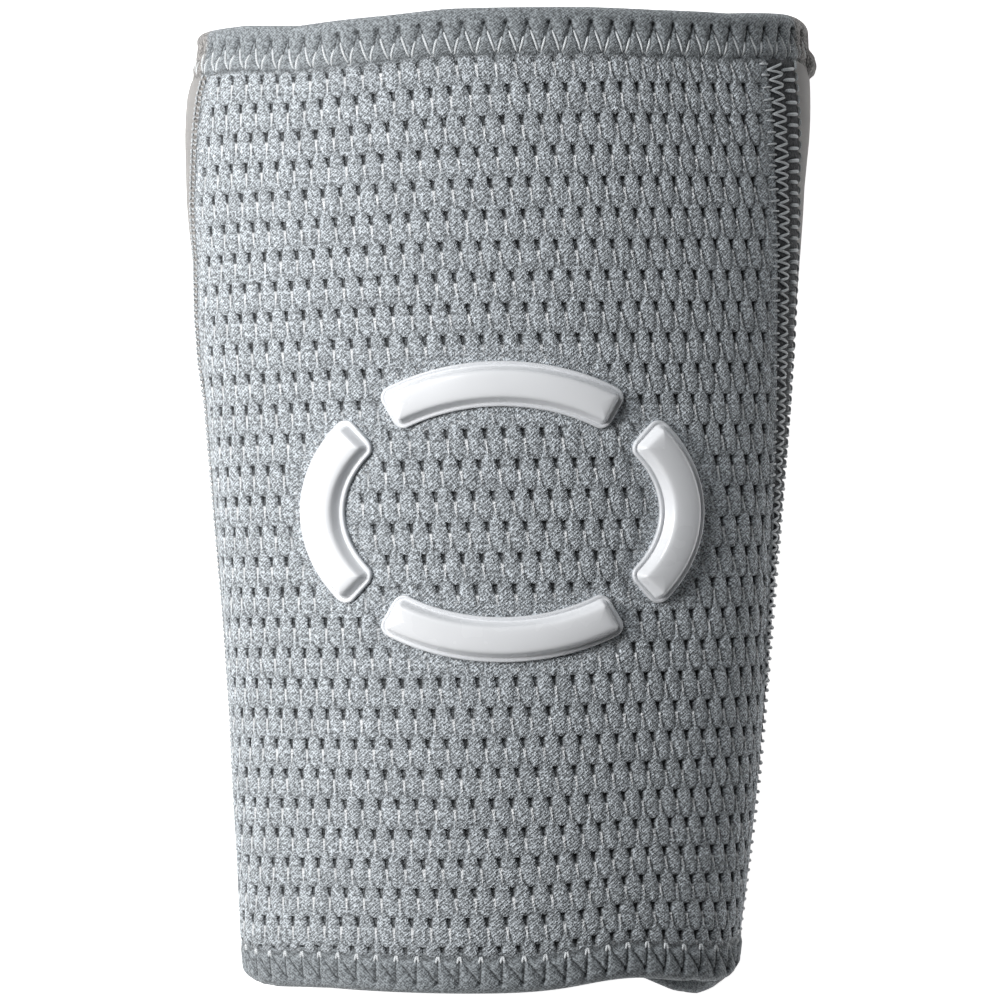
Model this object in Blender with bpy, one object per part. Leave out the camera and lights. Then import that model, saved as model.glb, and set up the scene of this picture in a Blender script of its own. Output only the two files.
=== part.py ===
"""Wrist guard: a padded stretch-knit cuff that lies on its back panel.

The cuff is a tapered tube along Y, open at both ends: the wrist end is at -Y and the forearm end at +Y.
Its padded front panel, with four moulded badge strokes on it, faces up (+Z). Lengths are in metres.
Where a piece lies is told by two coordinates on the outer skin. "along" is the distance from the wrist
end. "around" runs from 0 at the crown to -1 (by the left) and +1 (by the right) at the bottom centre, as
a share of that side's girth.
"""
import math

import bpy
import numpy as np

# Overall sizes
LENGTH = 0.149
FOREARM_WIDTH = 0.0968
WRIST_WIDTH = 0.0768
FOREARM_HEIGHT = 0.0440
WRIST_HEIGHT = 0.0380

# Walls, and how far the hems stand proud of the panels
PAD_WALL = 0.0030
BACK_WALL = 0.0018
SEAM_WALL = 0.0022
HEM_WALL = 0.0034
HEM_PROUD = 0.0005

# Widths of the sewn bands
FOREARM_HEM_DEPTH = 0.0070
WRIST_HEM_DEPTH = 0.0054
LEFT_SEAM_WIDTH = 0.0052
RIGHT_SEAM_WIDTH = 0.0068

# Clearance between neighbouring pieces
GAP = 0.0003

# How the two ends are cut: the slant of the forearm hem from left to right, and at the wrist how much
# shorter the front is than the sides, how high its wave rises and how far the back droops below
FOREARM_SLANT = 0.0018
WRIST_FRONT_CUT = 0.0017
WRIST_FRONT_WAVE = 0.0015
WRIST_BACK_DROOP = 0.0030
END_FADE = 0.050
# Middle and spread of the wave and the droop across, as shares of the half width
WAVE_ACROSS = (0.55, 0.26)
DROOP_ACROSS = (0.76, 0.22)
# Where the front's cut and the back's droop set in, as shares of the way from the widest point
FRONT_BLEND = (0.0, 0.35)
BACK_BLEND = (0.1, 0.8)

# The badge: a broken oval of four strokes
BADGE_WIDTH = 0.0610
BADGE_LENGTH = 0.0450
BADGE_STROKE = 0.0068
BADGE_BREAK = 0.0050
BADGE_HEIGHT = 0.0028
BADGE_FLANGE = 0.0006
BADGE_FROM_WRIST = 0.0739
BADGE_SIDEWAYS = 0.0008
SLOPE_STEP = 0.0010

# Sections from the wrist end to the forearm end. Along is a share of LENGTH. Spread and rise go from the
# wrist's width and height (0) to the forearm's (1). Side is the height of the widest point as a share of
# the crown's. Centre is a sideways shift as a share of WRIST_WIDTH. The seams are places around.
SECTION_COLUMNS = ("along", "spread", "rise", "side", "centre", "left_seam", "right_seam")
SECTIONS = (
    (0.00, -0.02, 0.00, 0.430, -0.012, -0.500, 0.535),
    (0.08, 0.09, 0.05, 0.430, -0.008, -0.498, 0.530),
    (0.20, 0.25, 0.16, 0.427, -0.004, -0.492, 0.520),
    (0.40, 0.44, 0.37, 0.422, 0.001, -0.480, 0.504),
    (0.60, 0.69, 0.60, 0.418, 0.001, -0.466, 0.484),
    (0.80, 0.93, 0.83, 0.414, 0.000, -0.443, 0.452),
    (0.90, 1.00, 0.93, 0.411, 0.001, -0.425, 0.430),
    (1.00, 0.91, 1.00, 0.409, 0.002, -0.408, 0.412),
)

# Shape of a section: how far the crown sits from the middle, as a share of the half width, and for each
# side the share of the rise that is a plain arch, the tightness of the roll at the widest point, and the
# radius of the lower corner as a share of the half width.
CROWN_SHIFT = -0.04
ARCH_SHARE = {"left": 0.78, "right": 0.66}
ROLL_POWER = {"left": 18.0, "right": 11.0}
CORNER_SHARE = {"left": 0.40, "right": 0.44}
CURVE_STEPS = 120
FLAT_STEPS = 8
BADGE_PATH_STEPS = 120

# Mesh divisions
PANEL_ROWS = 20
FRONT_COLUMNS = 28
CORNER_COLUMNS = 8
FLAT_COLUMNS = 2
SEAM_COLUMNS = 2
HEM_COLUMNS = 16
HEM_END_STEPS = 5
BADGE_STATIONS = 7
# Share of each column's place that is eased towards the rolls, where the skin bends most
FRONT_EASE = 0.55
HEM_EASE = 0.50

# Across a badge stroke: place as a share of the half stroke, and height as a share of the body's
BADGE_PROFILE = ((0.76, 0.00), (0.66, 0.62), (0.44, 0.90), (0.00, 1.00))
# Along a badge stroke's end: distance from the end in strokes, and share of the body's height
BADGE_END = ((0.00, 0.00), (0.12, 0.00), (0.17, 0.62), (0.28, 0.90))

SMOOTH_ANGLE = math.radians(38.0)


def clear_scene():
    for item in list(bpy.data.objects):
        bpy.data.objects.remove(item, do_unlink=True)


def make_material(name, colour, roughness):
    material = bpy.data.materials.new(name)
    material.use_nodes = True
    shader = material.node_tree.nodes["Principled BSDF"]
    shader.inputs["Base Color"].default_value = (*colour, 1.0)
    shader.inputs["Roughness"].default_value = roughness
    shader.inputs["Metallic"].default_value = 0.0
    return material


def smooth_step(low, high, value):
    share = np.clip((value - low) / (high - low), 0.0, 1.0)
    return share * share * (3.0 - 2.0 * share)


def bump(value, middle, spread):
    return math.exp(-((value - middle) / spread) ** 2)


def section_sizes(along):
    """The table's columns, in metres or as places around, at one distance from the wrist end."""
    share = np.clip(along / LENGTH, 0.0, 1.0)
    table = np.array(SECTIONS)
    row = {}
    for index, column in enumerate(SECTION_COLUMNS):
        row[column] = float(np.interp(share, table[:, 0], table[:, index]))
    width = WRIST_WIDTH + (FOREARM_WIDTH - WRIST_WIDTH) * row["spread"]
    row["half"] = width / 2.0
    row["crown"] = WRIST_HEIGHT + (FOREARM_HEIGHT - WRIST_HEIGHT) * row["rise"]
    row["side_height"] = row["crown"] * row["side"]
    row["shift"] = row["centre"] * WRIST_WIDTH
    return row


def half_section(row, side):
    """One side of a section from crown to bottom centre: x, z, length so far, and start of the flat."""
    sign = -1.0 if side == "left" else 1.0
    half = row["half"]
    crown_x = CROWN_SHIFT * half
    reach = half - sign * crown_x
    corner = CORNER_SHARE[side] * half
    turn = np.linspace(0.0, math.pi / 2.0, CURVE_STEPS + 1)
    share = np.sin(turn)
    arch = ARCH_SHARE[side]
    drop = arch * (1.0 - share ** 2) + (1.0 - arch) * np.sqrt(1.0 - share ** ROLL_POWER[side])
    upper_x = crown_x + sign * reach * share
    upper_z = row["side_height"] + (row["crown"] - row["side_height"]) * drop
    lower_x = sign * (half - corner * (1.0 - np.cos(turn[1:])))
    lower_z = row["side_height"] * (1.0 - np.sin(turn[1:]))
    flat_x = np.linspace(sign * (half - corner), 0.0, FLAT_STEPS + 1)[1:]
    x = np.concatenate((upper_x, lower_x, flat_x)) + row["shift"]
    z = np.concatenate((upper_z, lower_z, np.zeros(len(flat_x))))
    length = np.concatenate(([0.0], np.cumsum(np.hypot(np.diff(x), np.diff(z)))))
    flat_start = length[2 * CURVE_STEPS] / length[-1]
    return x, z, length, flat_start


def make_section(along):
    row = section_sizes(along)
    for side in ("left", "right"):
        x, z, length, flat_start = half_section(row, side)
        across = np.gradient(x, length)
        fall = np.gradient(z, length)
        size = np.hypot(across, fall)
        sign = -1.0 if side == "left" else 1.0
        row[side] = {
            "share": length / length[-1],
            "girth": length[-1],
            "flat": flat_start,
            "x": x,
            "z": z,
            "out_x": -sign * fall / size,
            "out_z": sign * across / size,
        }
    return row


def end_shift(row, along, x, z):
    """How far a skin point moves along Y so that both ends have their real cut."""
    place = (x - row["shift"]) / row["half"]
    rise = (z - row["side_height"]) / (row["crown"] - row["side_height"])
    sink = (row["side_height"] - z) / row["side_height"]
    front = smooth_step(*FRONT_BLEND, rise)
    back = smooth_step(*BACK_BLEND, sink)
    wave = bump(place, *WAVE_ACROSS)
    droop = bump(place, *DROOP_ACROSS)
    wrist = front * (WRIST_FRONT_CUT + WRIST_FRONT_WAVE * wave) - back * WRIST_BACK_DROOP * droop
    forearm = 0.5 * FOREARM_SLANT * place
    past_wrist_hem = max(0.0, along - WRIST_HEM_DEPTH)
    past_forearm_hem = max(0.0, LENGTH - FOREARM_HEM_DEPTH - along)
    near_wrist = max(0.0, 1.0 - past_wrist_hem / END_FADE) ** 2
    near_forearm = max(0.0, 1.0 - past_forearm_hem / END_FADE) ** 2
    return wrist * near_wrist + forearm * near_forearm


def skin_point(row, around, depth):
    """A point at a depth inside the outer skin; nothing goes below the surface that the cuff lies on."""
    side = row["left"] if around < 0.0 else row["right"]
    share = abs(around)
    x = float(np.interp(share, side["share"], side["x"]))
    z = float(np.interp(share, side["share"], side["z"]))
    out_x = float(np.interp(share, side["share"], side["out_x"]))
    out_z = float(np.interp(share, side["share"], side["out_z"]))
    y = row["distance"] + end_shift(row, row["distance"], x, z)
    return (x - depth * out_x, y, max(0.0, z - depth * out_z))


def section_at(distance):
    row = make_section(distance)
    row["distance"] = distance
    return row


def seam_edges(row, side):
    """The places around of a seam's inner edge, towards the crown, and outer edge, towards the back."""
    sign = -1.0 if side == "left" else 1.0
    width = LEFT_SEAM_WIDTH if side == "left" else RIGHT_SEAM_WIDTH
    middle = abs(row[side + "_seam"])
    half_share = width / 2.0 / row[side]["girth"]
    return sign * (middle - half_share), sign * (middle + half_share)


def gap_share(row, side):
    return GAP / row[side]["girth"]


def add_mesh(name, points, faces, material):
    mesh = bpy.data.meshes.new(name)
    mesh.from_pydata(points, [], faces)
    mesh.validate()
    mesh.materials.append(material)
    mesh.shade_smooth()
    mesh.set_sharp_from_angle(angle=SMOOTH_ANGLE)
    item = bpy.data.objects.new(name, mesh)
    bpy.context.collection.objects.link(item)
    return item


def wall_solid(outer, inner):
    """A closed wall between two grids of points with the same rows and columns."""
    rows = len(outer)
    columns = len(outer[0])
    points = []
    for grid in (outer, inner):
        for line in grid:
            points.extend(line)

    def index(layer, row, column):
        return (layer * rows + row) * columns + column

    faces = []
    for row in range(rows - 1):
        for column in range(columns - 1):
            a = index(0, row, column)
            b = index(0, row, column + 1)
            c = index(0, row + 1, column + 1)
            d = index(0, row + 1, column)
            faces.append((a, b, c, d))
            shift = rows * columns
            faces.append((d + shift, c + shift, b + shift, a + shift))
    border = [(0, column) for column in range(columns - 1)]
    border += [(row, columns - 1) for row in range(rows - 1)]
    border += [(rows - 1, column) for column in range(columns - 1, 0, -1)]
    border += [(row, 0) for row in range(rows - 1, 0, -1)]
    for number, start in enumerate(border):
        end = border[(number + 1) % len(border)]
        faces.append((index(0, *end), index(0, *start), index(1, *start), index(1, *end)))
    return points, faces


def tube_solid(rings, closed):
    """A closed solid from rings of points: joined end to start, or capped at both ends."""
    count = len(rings[0])
    points = [point for ring in rings for point in ring]
    faces = []
    links = len(rings) if closed else len(rings) - 1
    for ring in range(links):
        following = (ring + 1) % len(rings)
        for number in range(count):
            beside = (number + 1) % count
            faces.append((
                ring * count + number,
                ring * count + beside,
                following * count + beside,
                following * count + number,
            ))
    if not closed:
        faces.append(tuple(reversed(range(count))))
        faces.append(tuple(range((len(rings) - 1) * count, len(rings) * count)))
    return points, faces


def panel_rows():
    start = WRIST_HEM_DEPTH + GAP
    end = LENGTH - FOREARM_HEM_DEPTH - GAP
    return [section_at(distance) for distance in np.linspace(start, end, PANEL_ROWS + 1)]


def front_columns(row):
    """Places around of the front panel's columns, closer together where the skin rolls over."""
    left = seam_edges(row, "left")[0] + gap_share(row, "left")
    right = seam_edges(row, "right")[0] - gap_share(row, "right")
    columns = []
    for step in np.linspace(-1.0, 1.0, FRONT_COLUMNS + 1):
        eased = (1.0 - FRONT_EASE) * step + FRONT_EASE * math.sin(step * math.pi / 2.0)
        columns.append(eased * (right if eased > 0.0 else -left))
    return columns


def back_columns(row):
    """Places around of the back panel: from the right seam down, across the flat and up to the left."""
    left = seam_edges(row, "left")[1] - gap_share(row, "left")
    right = seam_edges(row, "right")[1] + gap_share(row, "right")
    left_flat = -row["left"]["flat"]
    right_flat = row["right"]["flat"]
    columns = list(np.linspace(right, right_flat, CORNER_COLUMNS + 1))
    columns += list(np.linspace(right_flat, 1.0, FLAT_COLUMNS + 1)[1:])
    columns += list(np.linspace(-1.0, left_flat, FLAT_COLUMNS + 1)[1:])
    columns += list(np.linspace(left_flat, left, CORNER_COLUMNS + 1)[1:])
    return columns


def make_panel(columns_of, wall):
    outer = []
    inner = []
    for row in panel_rows():
        columns = columns_of(row)
        outer.append([skin_point(row, around, 0.0) for around in columns])
        inner.append([skin_point(row, around, wall) for around in columns])
    return wall_solid(outer, inner)


def make_seam(side):
    def columns_of(row):
        return np.linspace(*sorted(seam_edges(row, side)), SEAM_COLUMNS + 1)

    return make_panel(columns_of, SEAM_WALL)


def hem_profile(depth_along):
    """Cross-section of a hem: distance from the cuff's end, and depth inside the skin."""
    radius = HEM_WALL / 2.0
    middle = radius - HEM_PROUD
    chamfer = HEM_PROUD
    profile = [(depth_along, 0.0), (depth_along - chamfer, -HEM_PROUD)]
    for step in range(HEM_END_STEPS + 1):
        turn = math.pi * step / HEM_END_STEPS
        profile.append((radius - radius * math.sin(turn), middle - radius * math.cos(turn)))
    profile.append((depth_along, HEM_WALL - HEM_PROUD))
    return profile


def hem_columns(row):
    """Places all the way around, closer together on the rolls, with the flat's two edges among them."""
    columns = []
    eased = []
    for step in np.linspace(0.0, 1.0, HEM_COLUMNS + 1)[1:]:
        eased.append((1.0 - HEM_EASE) * step + HEM_EASE * math.sin(step * math.pi / 2.0))
    for side, sign in (("right", 1.0), ("left", -1.0)):
        widest = row[side]["share"][CURVE_STEPS]
        flat = row[side]["flat"]
        places = [share * widest for share in eased]
        places += list(np.linspace(widest, flat, CORNER_COLUMNS + 1)[1:])
        places.append((1.0 + flat) / 2.0)
        if sign > 0.0:
            columns = [0.0] + places + [1.0]
        else:
            columns += [-place for place in reversed(places)]
    return columns


def make_hem(end):
    depth_along = WRIST_HEM_DEPTH if end == "wrist" else FOREARM_HEM_DEPTH
    lines = []
    for from_end, depth in hem_profile(depth_along):
        distance = from_end if end == "wrist" else LENGTH - from_end
        row = section_at(distance)
        lines.append([skin_point(row, around, depth) for around in hem_columns(row)])
    rings = [list(ring) for ring in zip(*lines)]
    if end == "forearm":
        rings.reverse()
    return tube_solid(rings, closed=True)


def skin_height(x, y):
    """Height of the front panel's outer skin under a place, well clear of both ends."""
    row = section_at(y)
    side = row["left"] if x < row["left"]["x"][0] else row["right"]
    upper = slice(0, CURVE_STEPS + 1)
    order = np.argsort(side["x"][upper])
    return float(np.interp(x, side["x"][upper][order], side["z"][upper][order]))


def on_skin(x, y, height):
    """A point at a height above the skin, measured square to it."""
    rise_x = skin_height(x + SLOPE_STEP, y) - skin_height(x - SLOPE_STEP, y)
    rise_y = skin_height(x, y + SLOPE_STEP) - skin_height(x, y - SLOPE_STEP)
    slope_x = rise_x / (2.0 * SLOPE_STEP)
    slope_y = rise_y / (2.0 * SLOPE_STEP)
    size = math.sqrt(1.0 + slope_x ** 2 + slope_y ** 2)
    base = skin_height(x, y)
    return (x - height * slope_x / size, y - height * slope_y / size, base + height / size)


def badge_path(middle_turn):
    """Middle line of one stroke: its points and the outward direction at each, on the flat."""
    half_x = (BADGE_WIDTH - BADGE_STROKE) / 2.0
    half_y = (BADGE_LENGTH - BADGE_STROKE) / 2.0
    turn = np.linspace(middle_turn - math.pi / 4.0, middle_turn + math.pi / 4.0, BADGE_PATH_STEPS + 1)
    x = half_x * np.cos(turn)
    y = half_y * np.sin(turn)
    length = np.concatenate(([0.0], np.cumsum(np.hypot(np.diff(x), np.diff(y)))))
    start = BADGE_BREAK / 2.0
    end = length[-1] - BADGE_BREAK / 2.0
    ends = [(share * BADGE_STROKE, body) for share, body in BADGE_END]
    stations = [(start + distance, body) for distance, body in ends]
    first = start + ends[-1][0]
    last = end - ends[-1][0]
    stations += [(distance, 1.0) for distance in np.linspace(first, last, BADGE_STATIONS)[1:-1]]
    stations += [(end - distance, body) for distance, body in reversed(ends)]
    path = []
    for distance, body in stations:
        angle = float(np.interp(distance, length, turn))
        out = np.array((math.cos(angle) / half_x, math.sin(angle) / half_y))
        out /= np.linalg.norm(out)
        path.append(((half_x * math.cos(angle), half_y * math.sin(angle)), out, body))
    return path


def badge_ring(body):
    """Cross-section of a stroke: distance outwards from its middle line, and height above its seat."""
    half = BADGE_STROKE / 2.0
    rise = BADGE_HEIGHT - BADGE_FLANGE
    side = [(half, 0.0), (half, BADGE_FLANGE)]
    side += [(share * half, BADGE_FLANGE + rise * height * body) for share, height in BADGE_PROFILE[:-1]]
    top = (0.0, BADGE_FLANGE + rise * body)
    return side + [top] + [(-out, height) for out, height in reversed(side)] + [(0.0, 0.0)]


def make_badge(middle_turn):
    row = section_at(BADGE_FROM_WRIST)
    centre_x = row["shift"] + BADGE_SIDEWAYS
    rings = []
    for (x, y), out, body in badge_path(middle_turn):
        ring = []
        for outward, height in badge_ring(body):
            place_x = centre_x + x + outward * out[0]
            place_y = BADGE_FROM_WRIST + y + outward * out[1]
            ring.append(on_skin(place_x, place_y, GAP + height))
        rings.append(ring)
    rings.reverse()
    return tube_solid(rings, closed=False)


def centre_on_origin(solids):
    """Move everything so that the middle of the bounding box's bottom is the origin."""
    points = np.array([point for solid in solids for point in solid[1]])
    low = points.min(axis=0)
    high = points.max(axis=0)
    move = ((low[0] + high[0]) / 2.0, (low[1] + high[1]) / 2.0, low[2])
    return [(name, np.subtract(shape, move).tolist(), *rest) for name, shape, *rest in solids]


def main():
    clear_scene()
    mesh_knit = make_material("mesh_knit", (0.36, 0.39, 0.41), 0.85)
    stretch_knit = make_material("stretch_knit", (0.33, 0.33, 0.33), 0.80)
    hem_knit = make_material("hem_knit", (0.30, 0.32, 0.34), 0.80)
    seam_thread = make_material("seam_thread", (0.32, 0.34, 0.36), 0.75)
    badge_rubber = make_material("badge_rubber", (0.86, 0.89, 0.92), 0.25)
    solids = [
        ("front_panel", *make_panel(front_columns, PAD_WALL), mesh_knit),
        ("back_panel", *make_panel(back_columns, BACK_WALL), stretch_knit),
        ("left_seam", *make_seam("left"), seam_thread),
        ("right_seam", *make_seam("right"), seam_thread),
        ("wrist_hem", *make_hem("wrist"), hem_knit),
        ("forearm_hem", *make_hem("forearm"), hem_knit),
        ("badge_arc_right", *make_badge(0.0), badge_rubber),
        ("badge_arc_top", *make_badge(math.pi / 2.0), badge_rubber),
        ("badge_arc_left", *make_badge(math.pi), badge_rubber),
        ("badge_arc_bottom", *make_badge(3.0 * math.pi / 2.0), badge_rubber),
    ]
    for name, points, faces, material in centre_on_origin(solids):
        add_mesh(name, points, faces, material)


main()
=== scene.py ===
"""Wrist guard, visual model: eyelet knit front, plain knit back, stitched hems and seams, moulded badge.

A place on the cuff's outer skin is told by two coordinates. "along" is the distance from the wrist end.
"around" runs from 0 at the crown to -1 (by the left) and +1 (by the right) at the bottom centre, as a share
of that side's girth. "across" is the same place as a length from the crown. Lengths are in metres.
"""
import math

import bpy
import numpy as np
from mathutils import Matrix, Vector


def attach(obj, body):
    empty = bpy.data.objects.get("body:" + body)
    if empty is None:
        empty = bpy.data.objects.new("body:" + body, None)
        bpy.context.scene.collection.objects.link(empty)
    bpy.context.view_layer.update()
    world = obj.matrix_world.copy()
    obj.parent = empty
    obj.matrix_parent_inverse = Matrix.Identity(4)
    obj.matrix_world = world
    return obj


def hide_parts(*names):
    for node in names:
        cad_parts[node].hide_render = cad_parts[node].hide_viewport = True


MM = 0.001

# Each side's direction across
SIDES = {"left": -1.0, "right": 1.0}

# The cuff's sizes
LENGTH = 0.149
FOREARM_WIDTH = 0.0968
WRIST_WIDTH = 0.0768
FOREARM_HEIGHT = 0.0440
WRIST_HEIGHT = 0.0380
PAD_WALL = 0.0030
BACK_WALL = 0.0018
HEM_WALL = 0.0034
HEM_PROUD = 0.0005
FOREARM_HEM_DEPTH = 0.0070
WRIST_HEM_DEPTH = 0.0054
SEAM_WIDTH = {"left": 0.0052, "right": 0.0068}
FOREARM_SLANT = 0.0018
WRIST_FRONT_CUT = 0.0017
WRIST_FRONT_WAVE = 0.0015
WRIST_BACK_DROOP = 0.0028
END_FADE = 0.050
WAVE_ACROSS = (0.55, 0.26)
DROOP_ACROSS = (0.82, 0.19)
FRONT_BLEND = (0.0, 0.35)
BACK_BLEND = (0.1, 0.8)
BADGE_WIDTH = 0.0610
BADGE_LENGTH = 0.0450
BADGE_STROKE = 0.0068
BADGE_BREAK = 0.0050
BADGE_FROM_WRIST = 0.0739
BADGE_SIDEWAYS = 0.0008
SLOPE_STEP = 0.0010
SECTION_COLUMNS = ("along", "spread", "rise", "side", "centre", "left_seam", "right_seam")
SECTIONS = (
    (0.00, -0.02, 0.00, 0.430, -0.012, -0.500, 0.535),
    (0.08, 0.09, 0.05, 0.430, -0.008, -0.498, 0.530),
    (0.20, 0.25, 0.16, 0.427, -0.004, -0.492, 0.520),
    (0.40, 0.44, 0.37, 0.422, 0.001, -0.480, 0.504),
    (0.60, 0.69, 0.60, 0.418, 0.001, -0.466, 0.484),
    (0.80, 0.93, 0.83, 0.414, 0.000, -0.443, 0.452),
    (0.90, 1.00, 0.93, 0.411, 0.001, -0.425, 0.430),
    (1.00, 0.91, 1.00, 0.409, 0.002, -0.408, 0.412),
)
CROWN_SHIFT = -0.04
ARCH_SHARE = {"left": 0.78, "right": 0.66}
ROLL_POWER = {"left": 18.0, "right": 11.0}
CORNER_SHARE = {"left": 0.40, "right": 0.44}
# The model's origin, seen from the middle of the wrist end
ORIGIN = np.array((0.000122, 0.073485, 0.0))

# Small trims of the drawn skin. At each end they are places across, as shares of the half width, and shifts
# along in millimetres. On each side they are places along and heights, both in millimetres.
FOREARM_TRIM = (
    (-1.0, 0.0), (-0.83, -0.15), (-0.75, -0.6), (-0.65, -1.1), (-0.55, -1.0), (-0.34, -0.7), (-0.16, -0.15),
    (0.3, -0.1), (0.5, -0.3), (0.66, -0.3), (0.74, -0.35), (0.80, -0.1), (0.88, 0.2), (1.0, 0.6),
)
WRIST_TRIM = (
    (-1.0, 1.5), (-0.985, 0.7), (-0.96, -0.2), (-0.93, -0.8), (-0.87, -0.9), (-0.78, -0.6), (-0.65, -0.3),
    (0.3, -0.2), (0.6, 0.0), (0.78, -0.2), (0.83, 0.0), (0.88, -0.3), (0.93, -0.3), (0.96, 0.2), (0.975, 0.9),
    (0.99, 2.1), (1.0, 3.0),
)
WRIST_BACK_TRIM = (
    (0.74, 0.4), (0.78, 0.3), (0.82, 0.1), (0.86, 0.0), (0.88, -0.1), (0.90, -0.1), (0.93, 0.0),
)
SIDE_TRIM = {
    "left": (
        (0.0, -0.3), (4.0, -0.1), (6.0, 0.3), (9.0, 0.3), (20.0, 0.0), (42.0, -0.3), (65.0, 0.0), (90.0, 0.0),
        (97.0, 0.5), (105.0, 0.55), (113.0, 0.15), (122.0, 0.4), (135.0, 0.2), (139.0, 0.1), (141.3, -0.3),
        (143.0, -1.0), (145.0, -1.5), (147.0, -1.7), (149.0, -1.1),
    ),
    "right": ((124.0, 0.0), (131.0, 0.35), (139.0, 0.55), (142.0, 0.5), (144.0, 0.0)),
}
TRIM_AROUND = {"left": (0.18, 0.30, 0.62, 0.80), "right": (0.28, 0.38, 0.62, 0.80)}

# Tables of the skin
SKIN_ROWS = 240
SKIN_COLUMNS = 600
CURVE_STEPS = 240
SECTION_BLEND = 0.022
HEIGHT_REACH = 0.046
HEIGHT_COLUMNS = 460

# Eyelet knit: leaves in columns that lean to the right going down, in rows that rise to the right, with an
# eyelet at the head of each leaf. Every second row is half a column aside. A leaf's outline is half its width
# in columns, by the share of its length from its head, and HOLE_SIDES is a gap in columns.
COLUMN_PITCH = 0.0029
ROW_PITCH = 0.00465
COLUMN_LEAN = math.tan(math.radians(7.3))
ROW_TILT = math.tan(math.radians(1.2))
CORNER_PULL = 0.0042
CORNER_PULL_LENGTH = 0.015
CORNER_PULL_ACROSS = (0.015, 0.045)
COLUMN_CUTS = (0.0, 0.08, 0.15, 0.25, 0.34, 0.41, 0.5, 0.59, 0.66, 0.75, 0.84, 0.91)
ROW_CUTS = (0.0, 0.14, 0.30, 0.44, 0.57, 0.70, 0.83, 0.95)
PATTERN_START = (0.207, -0.548)
LEAF_DOWN = (0.0, 0.10, 0.14, 0.18, 0.28, 0.40, 0.45, 0.50, 0.56, 0.66, 0.76, 0.88, 0.94, 0.98, 1.0)
LEAF_HALF = (-0.10, -0.08, -0.02, 0.06, 0.10, 0.165, 0.25, 0.355, 0.39, 0.43, 0.42, 0.345, 0.27, 0.18, 0.0)
LEAF_RISE = 0.00032
GROOVE_DEPTH = 0.00014
EYELET_DEPTH = 0.00045
HOLE_SIDES = (0.010, 0.080)
FLAT_BY_BADGE = (0.0008, 0.0030)
FLAT_BY_HEM = (-0.0004, 0.0014)
FLAT_BY_SEAM = (0.0006, 0.0040)
# How far the knit laps over each seam by the distance along, both in millimetres
SEAM_COVER = {
    "left": ((0.0, 3.2), (149.0, 3.2)),
    "right": ((0.0, 3.0), (30.0, 2.6), (64.0, 0.8), (95.0, -0.9), (149.0, -0.9)),
}
# Edges of each seam's band from the seam's inner edge, then the knit's own edges and dents
BAND_EDGES = {"left": (0.0, 0.0042), "right": (-0.0012, 0.0057)}
BADGE_DENT = 0.00030
TUCK = 0.0011
TUCK_DEPTH = 0.0008
TUCK_FADE = 0.0006
FRONT_TUCK_FADE = 0.0004
DENT_SPREAD = 0.0022
FLAT_SHARE = 0.88
# How far the painted shade along the knit's borders spreads
BORDER_SPREAD = 0.0005
# Notches of painted shade over the wrist hem: place and spread within a stitch, height over the hem and its
# spread
PAINTED_SHADE_NOTCH = (0.36, 0.10, 0.0010, 0.0008)

# Hems: stitches, thread, the relief of the face, and a small lump on the right of the wide end. The values
# from NEEDLE_SPREAD to CREASE_WIDTH are in millimetres. HEM_SHADE is the painted shade in a groove, in a
# needle's hole and along the edge, and the value after it is the painted shade in the zigzag's creases.
FOREARM_STITCH = 0.0032
WRIST_STITCH = 0.00325
STITCH_COLUMNS = 14
FACE_ROWS = 25
THREAD_RADIUS = 0.00022
THREAD_SIDES = 6
THREAD_RISE = 0.00034
THREAD_SINK = 0.00022
THREAD_TAPER = (0.4, 0.9, 1.0, 1.0, 1.0, 1.0, 0.9, 0.4)
HEM_PILLOW = 0.00022
HEM_GROOVE = 0.00024
HEM_TURN_IN = 0.00025
HEM_EDGE = (-0.0016, 0.0005)
FACE_BEYOND = 0.0007
NEEDLE_DENT = 0.00045
NEEDLE_SPREAD = 0.30
GROOVE_SPREAD = 0.24
PILLOW_SPREAD = 0.80
EDGE_BEYOND = 0.15
EDGE_SPREAD = 0.30
CREASE_WIDTH = 0.21
HEM_SHADE = (0.20, 0.90, 0.60)
CREASE_PAINTED_SHADE = 0.62
SCALLOP = 0.0003
SCALLOP_REACH = 0.0020
LUMP_RISE = 0.0008
LUMP_SPREAD = 0.0030
LUMP_BAND = (0.0040, 0.0054, 0.0080, 0.0089)

# Back and lining: low waves along the back, fine ribs in the lining, and the sheets' flat sizes and areas
BACK_GRID = (180, 150)
LINING_GRID = (150, 90)
BACK_WAVE = 0.00016
BACK_WAVE_LENGTHS = (0.0094, 0.031)
LINING_DEPTH = 0.0006
LINING_RIB = 0.00006
LINING_RIBS = 260.0

# A zigzag of thread: creases where it pulls the cloth in and the parts of it that show, both as lines
# between places given by a share of a stitch and a distance from the cuff's end in millimetres
HEMS = {
    "forearm": {
        "depth": FOREARM_HEM_DEPTH,
        "pitch": FOREARM_STITCH,
        "creases": (((0.0, 2.4), (0.58, 7.2)), ((1.0, 2.4), (0.58, 7.2))),
        "threads": (((0.09, 3.3), (0.555, 7.1)), ((0.84, 4.3), (0.60, 7.15))),
        "needle": (0.0, 2.4),
        "scallop": 0.58,
    },
    "wrist": {
        "depth": WRIST_HEM_DEPTH,
        "pitch": WRIST_STITCH,
        "creases": (((0.27, 4.5), (1.0, 1.6)), ((1.0, 4.9), (1.0, 1.6))),
        "threads": (((-0.09, 4.6), (0.005, 5.75)), ((0.03, 5.75), (0.13, 4.7))),
        "needle": (0.0, 1.6),
        "scallop": 0.0,
    },
}
BACK_FADE = 0.0008
HEM_REACH_RIGHT = 0.0013
HEM_REACH_AROUND = (-0.0045, -0.0025, 0.0050, 0.0090)

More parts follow.
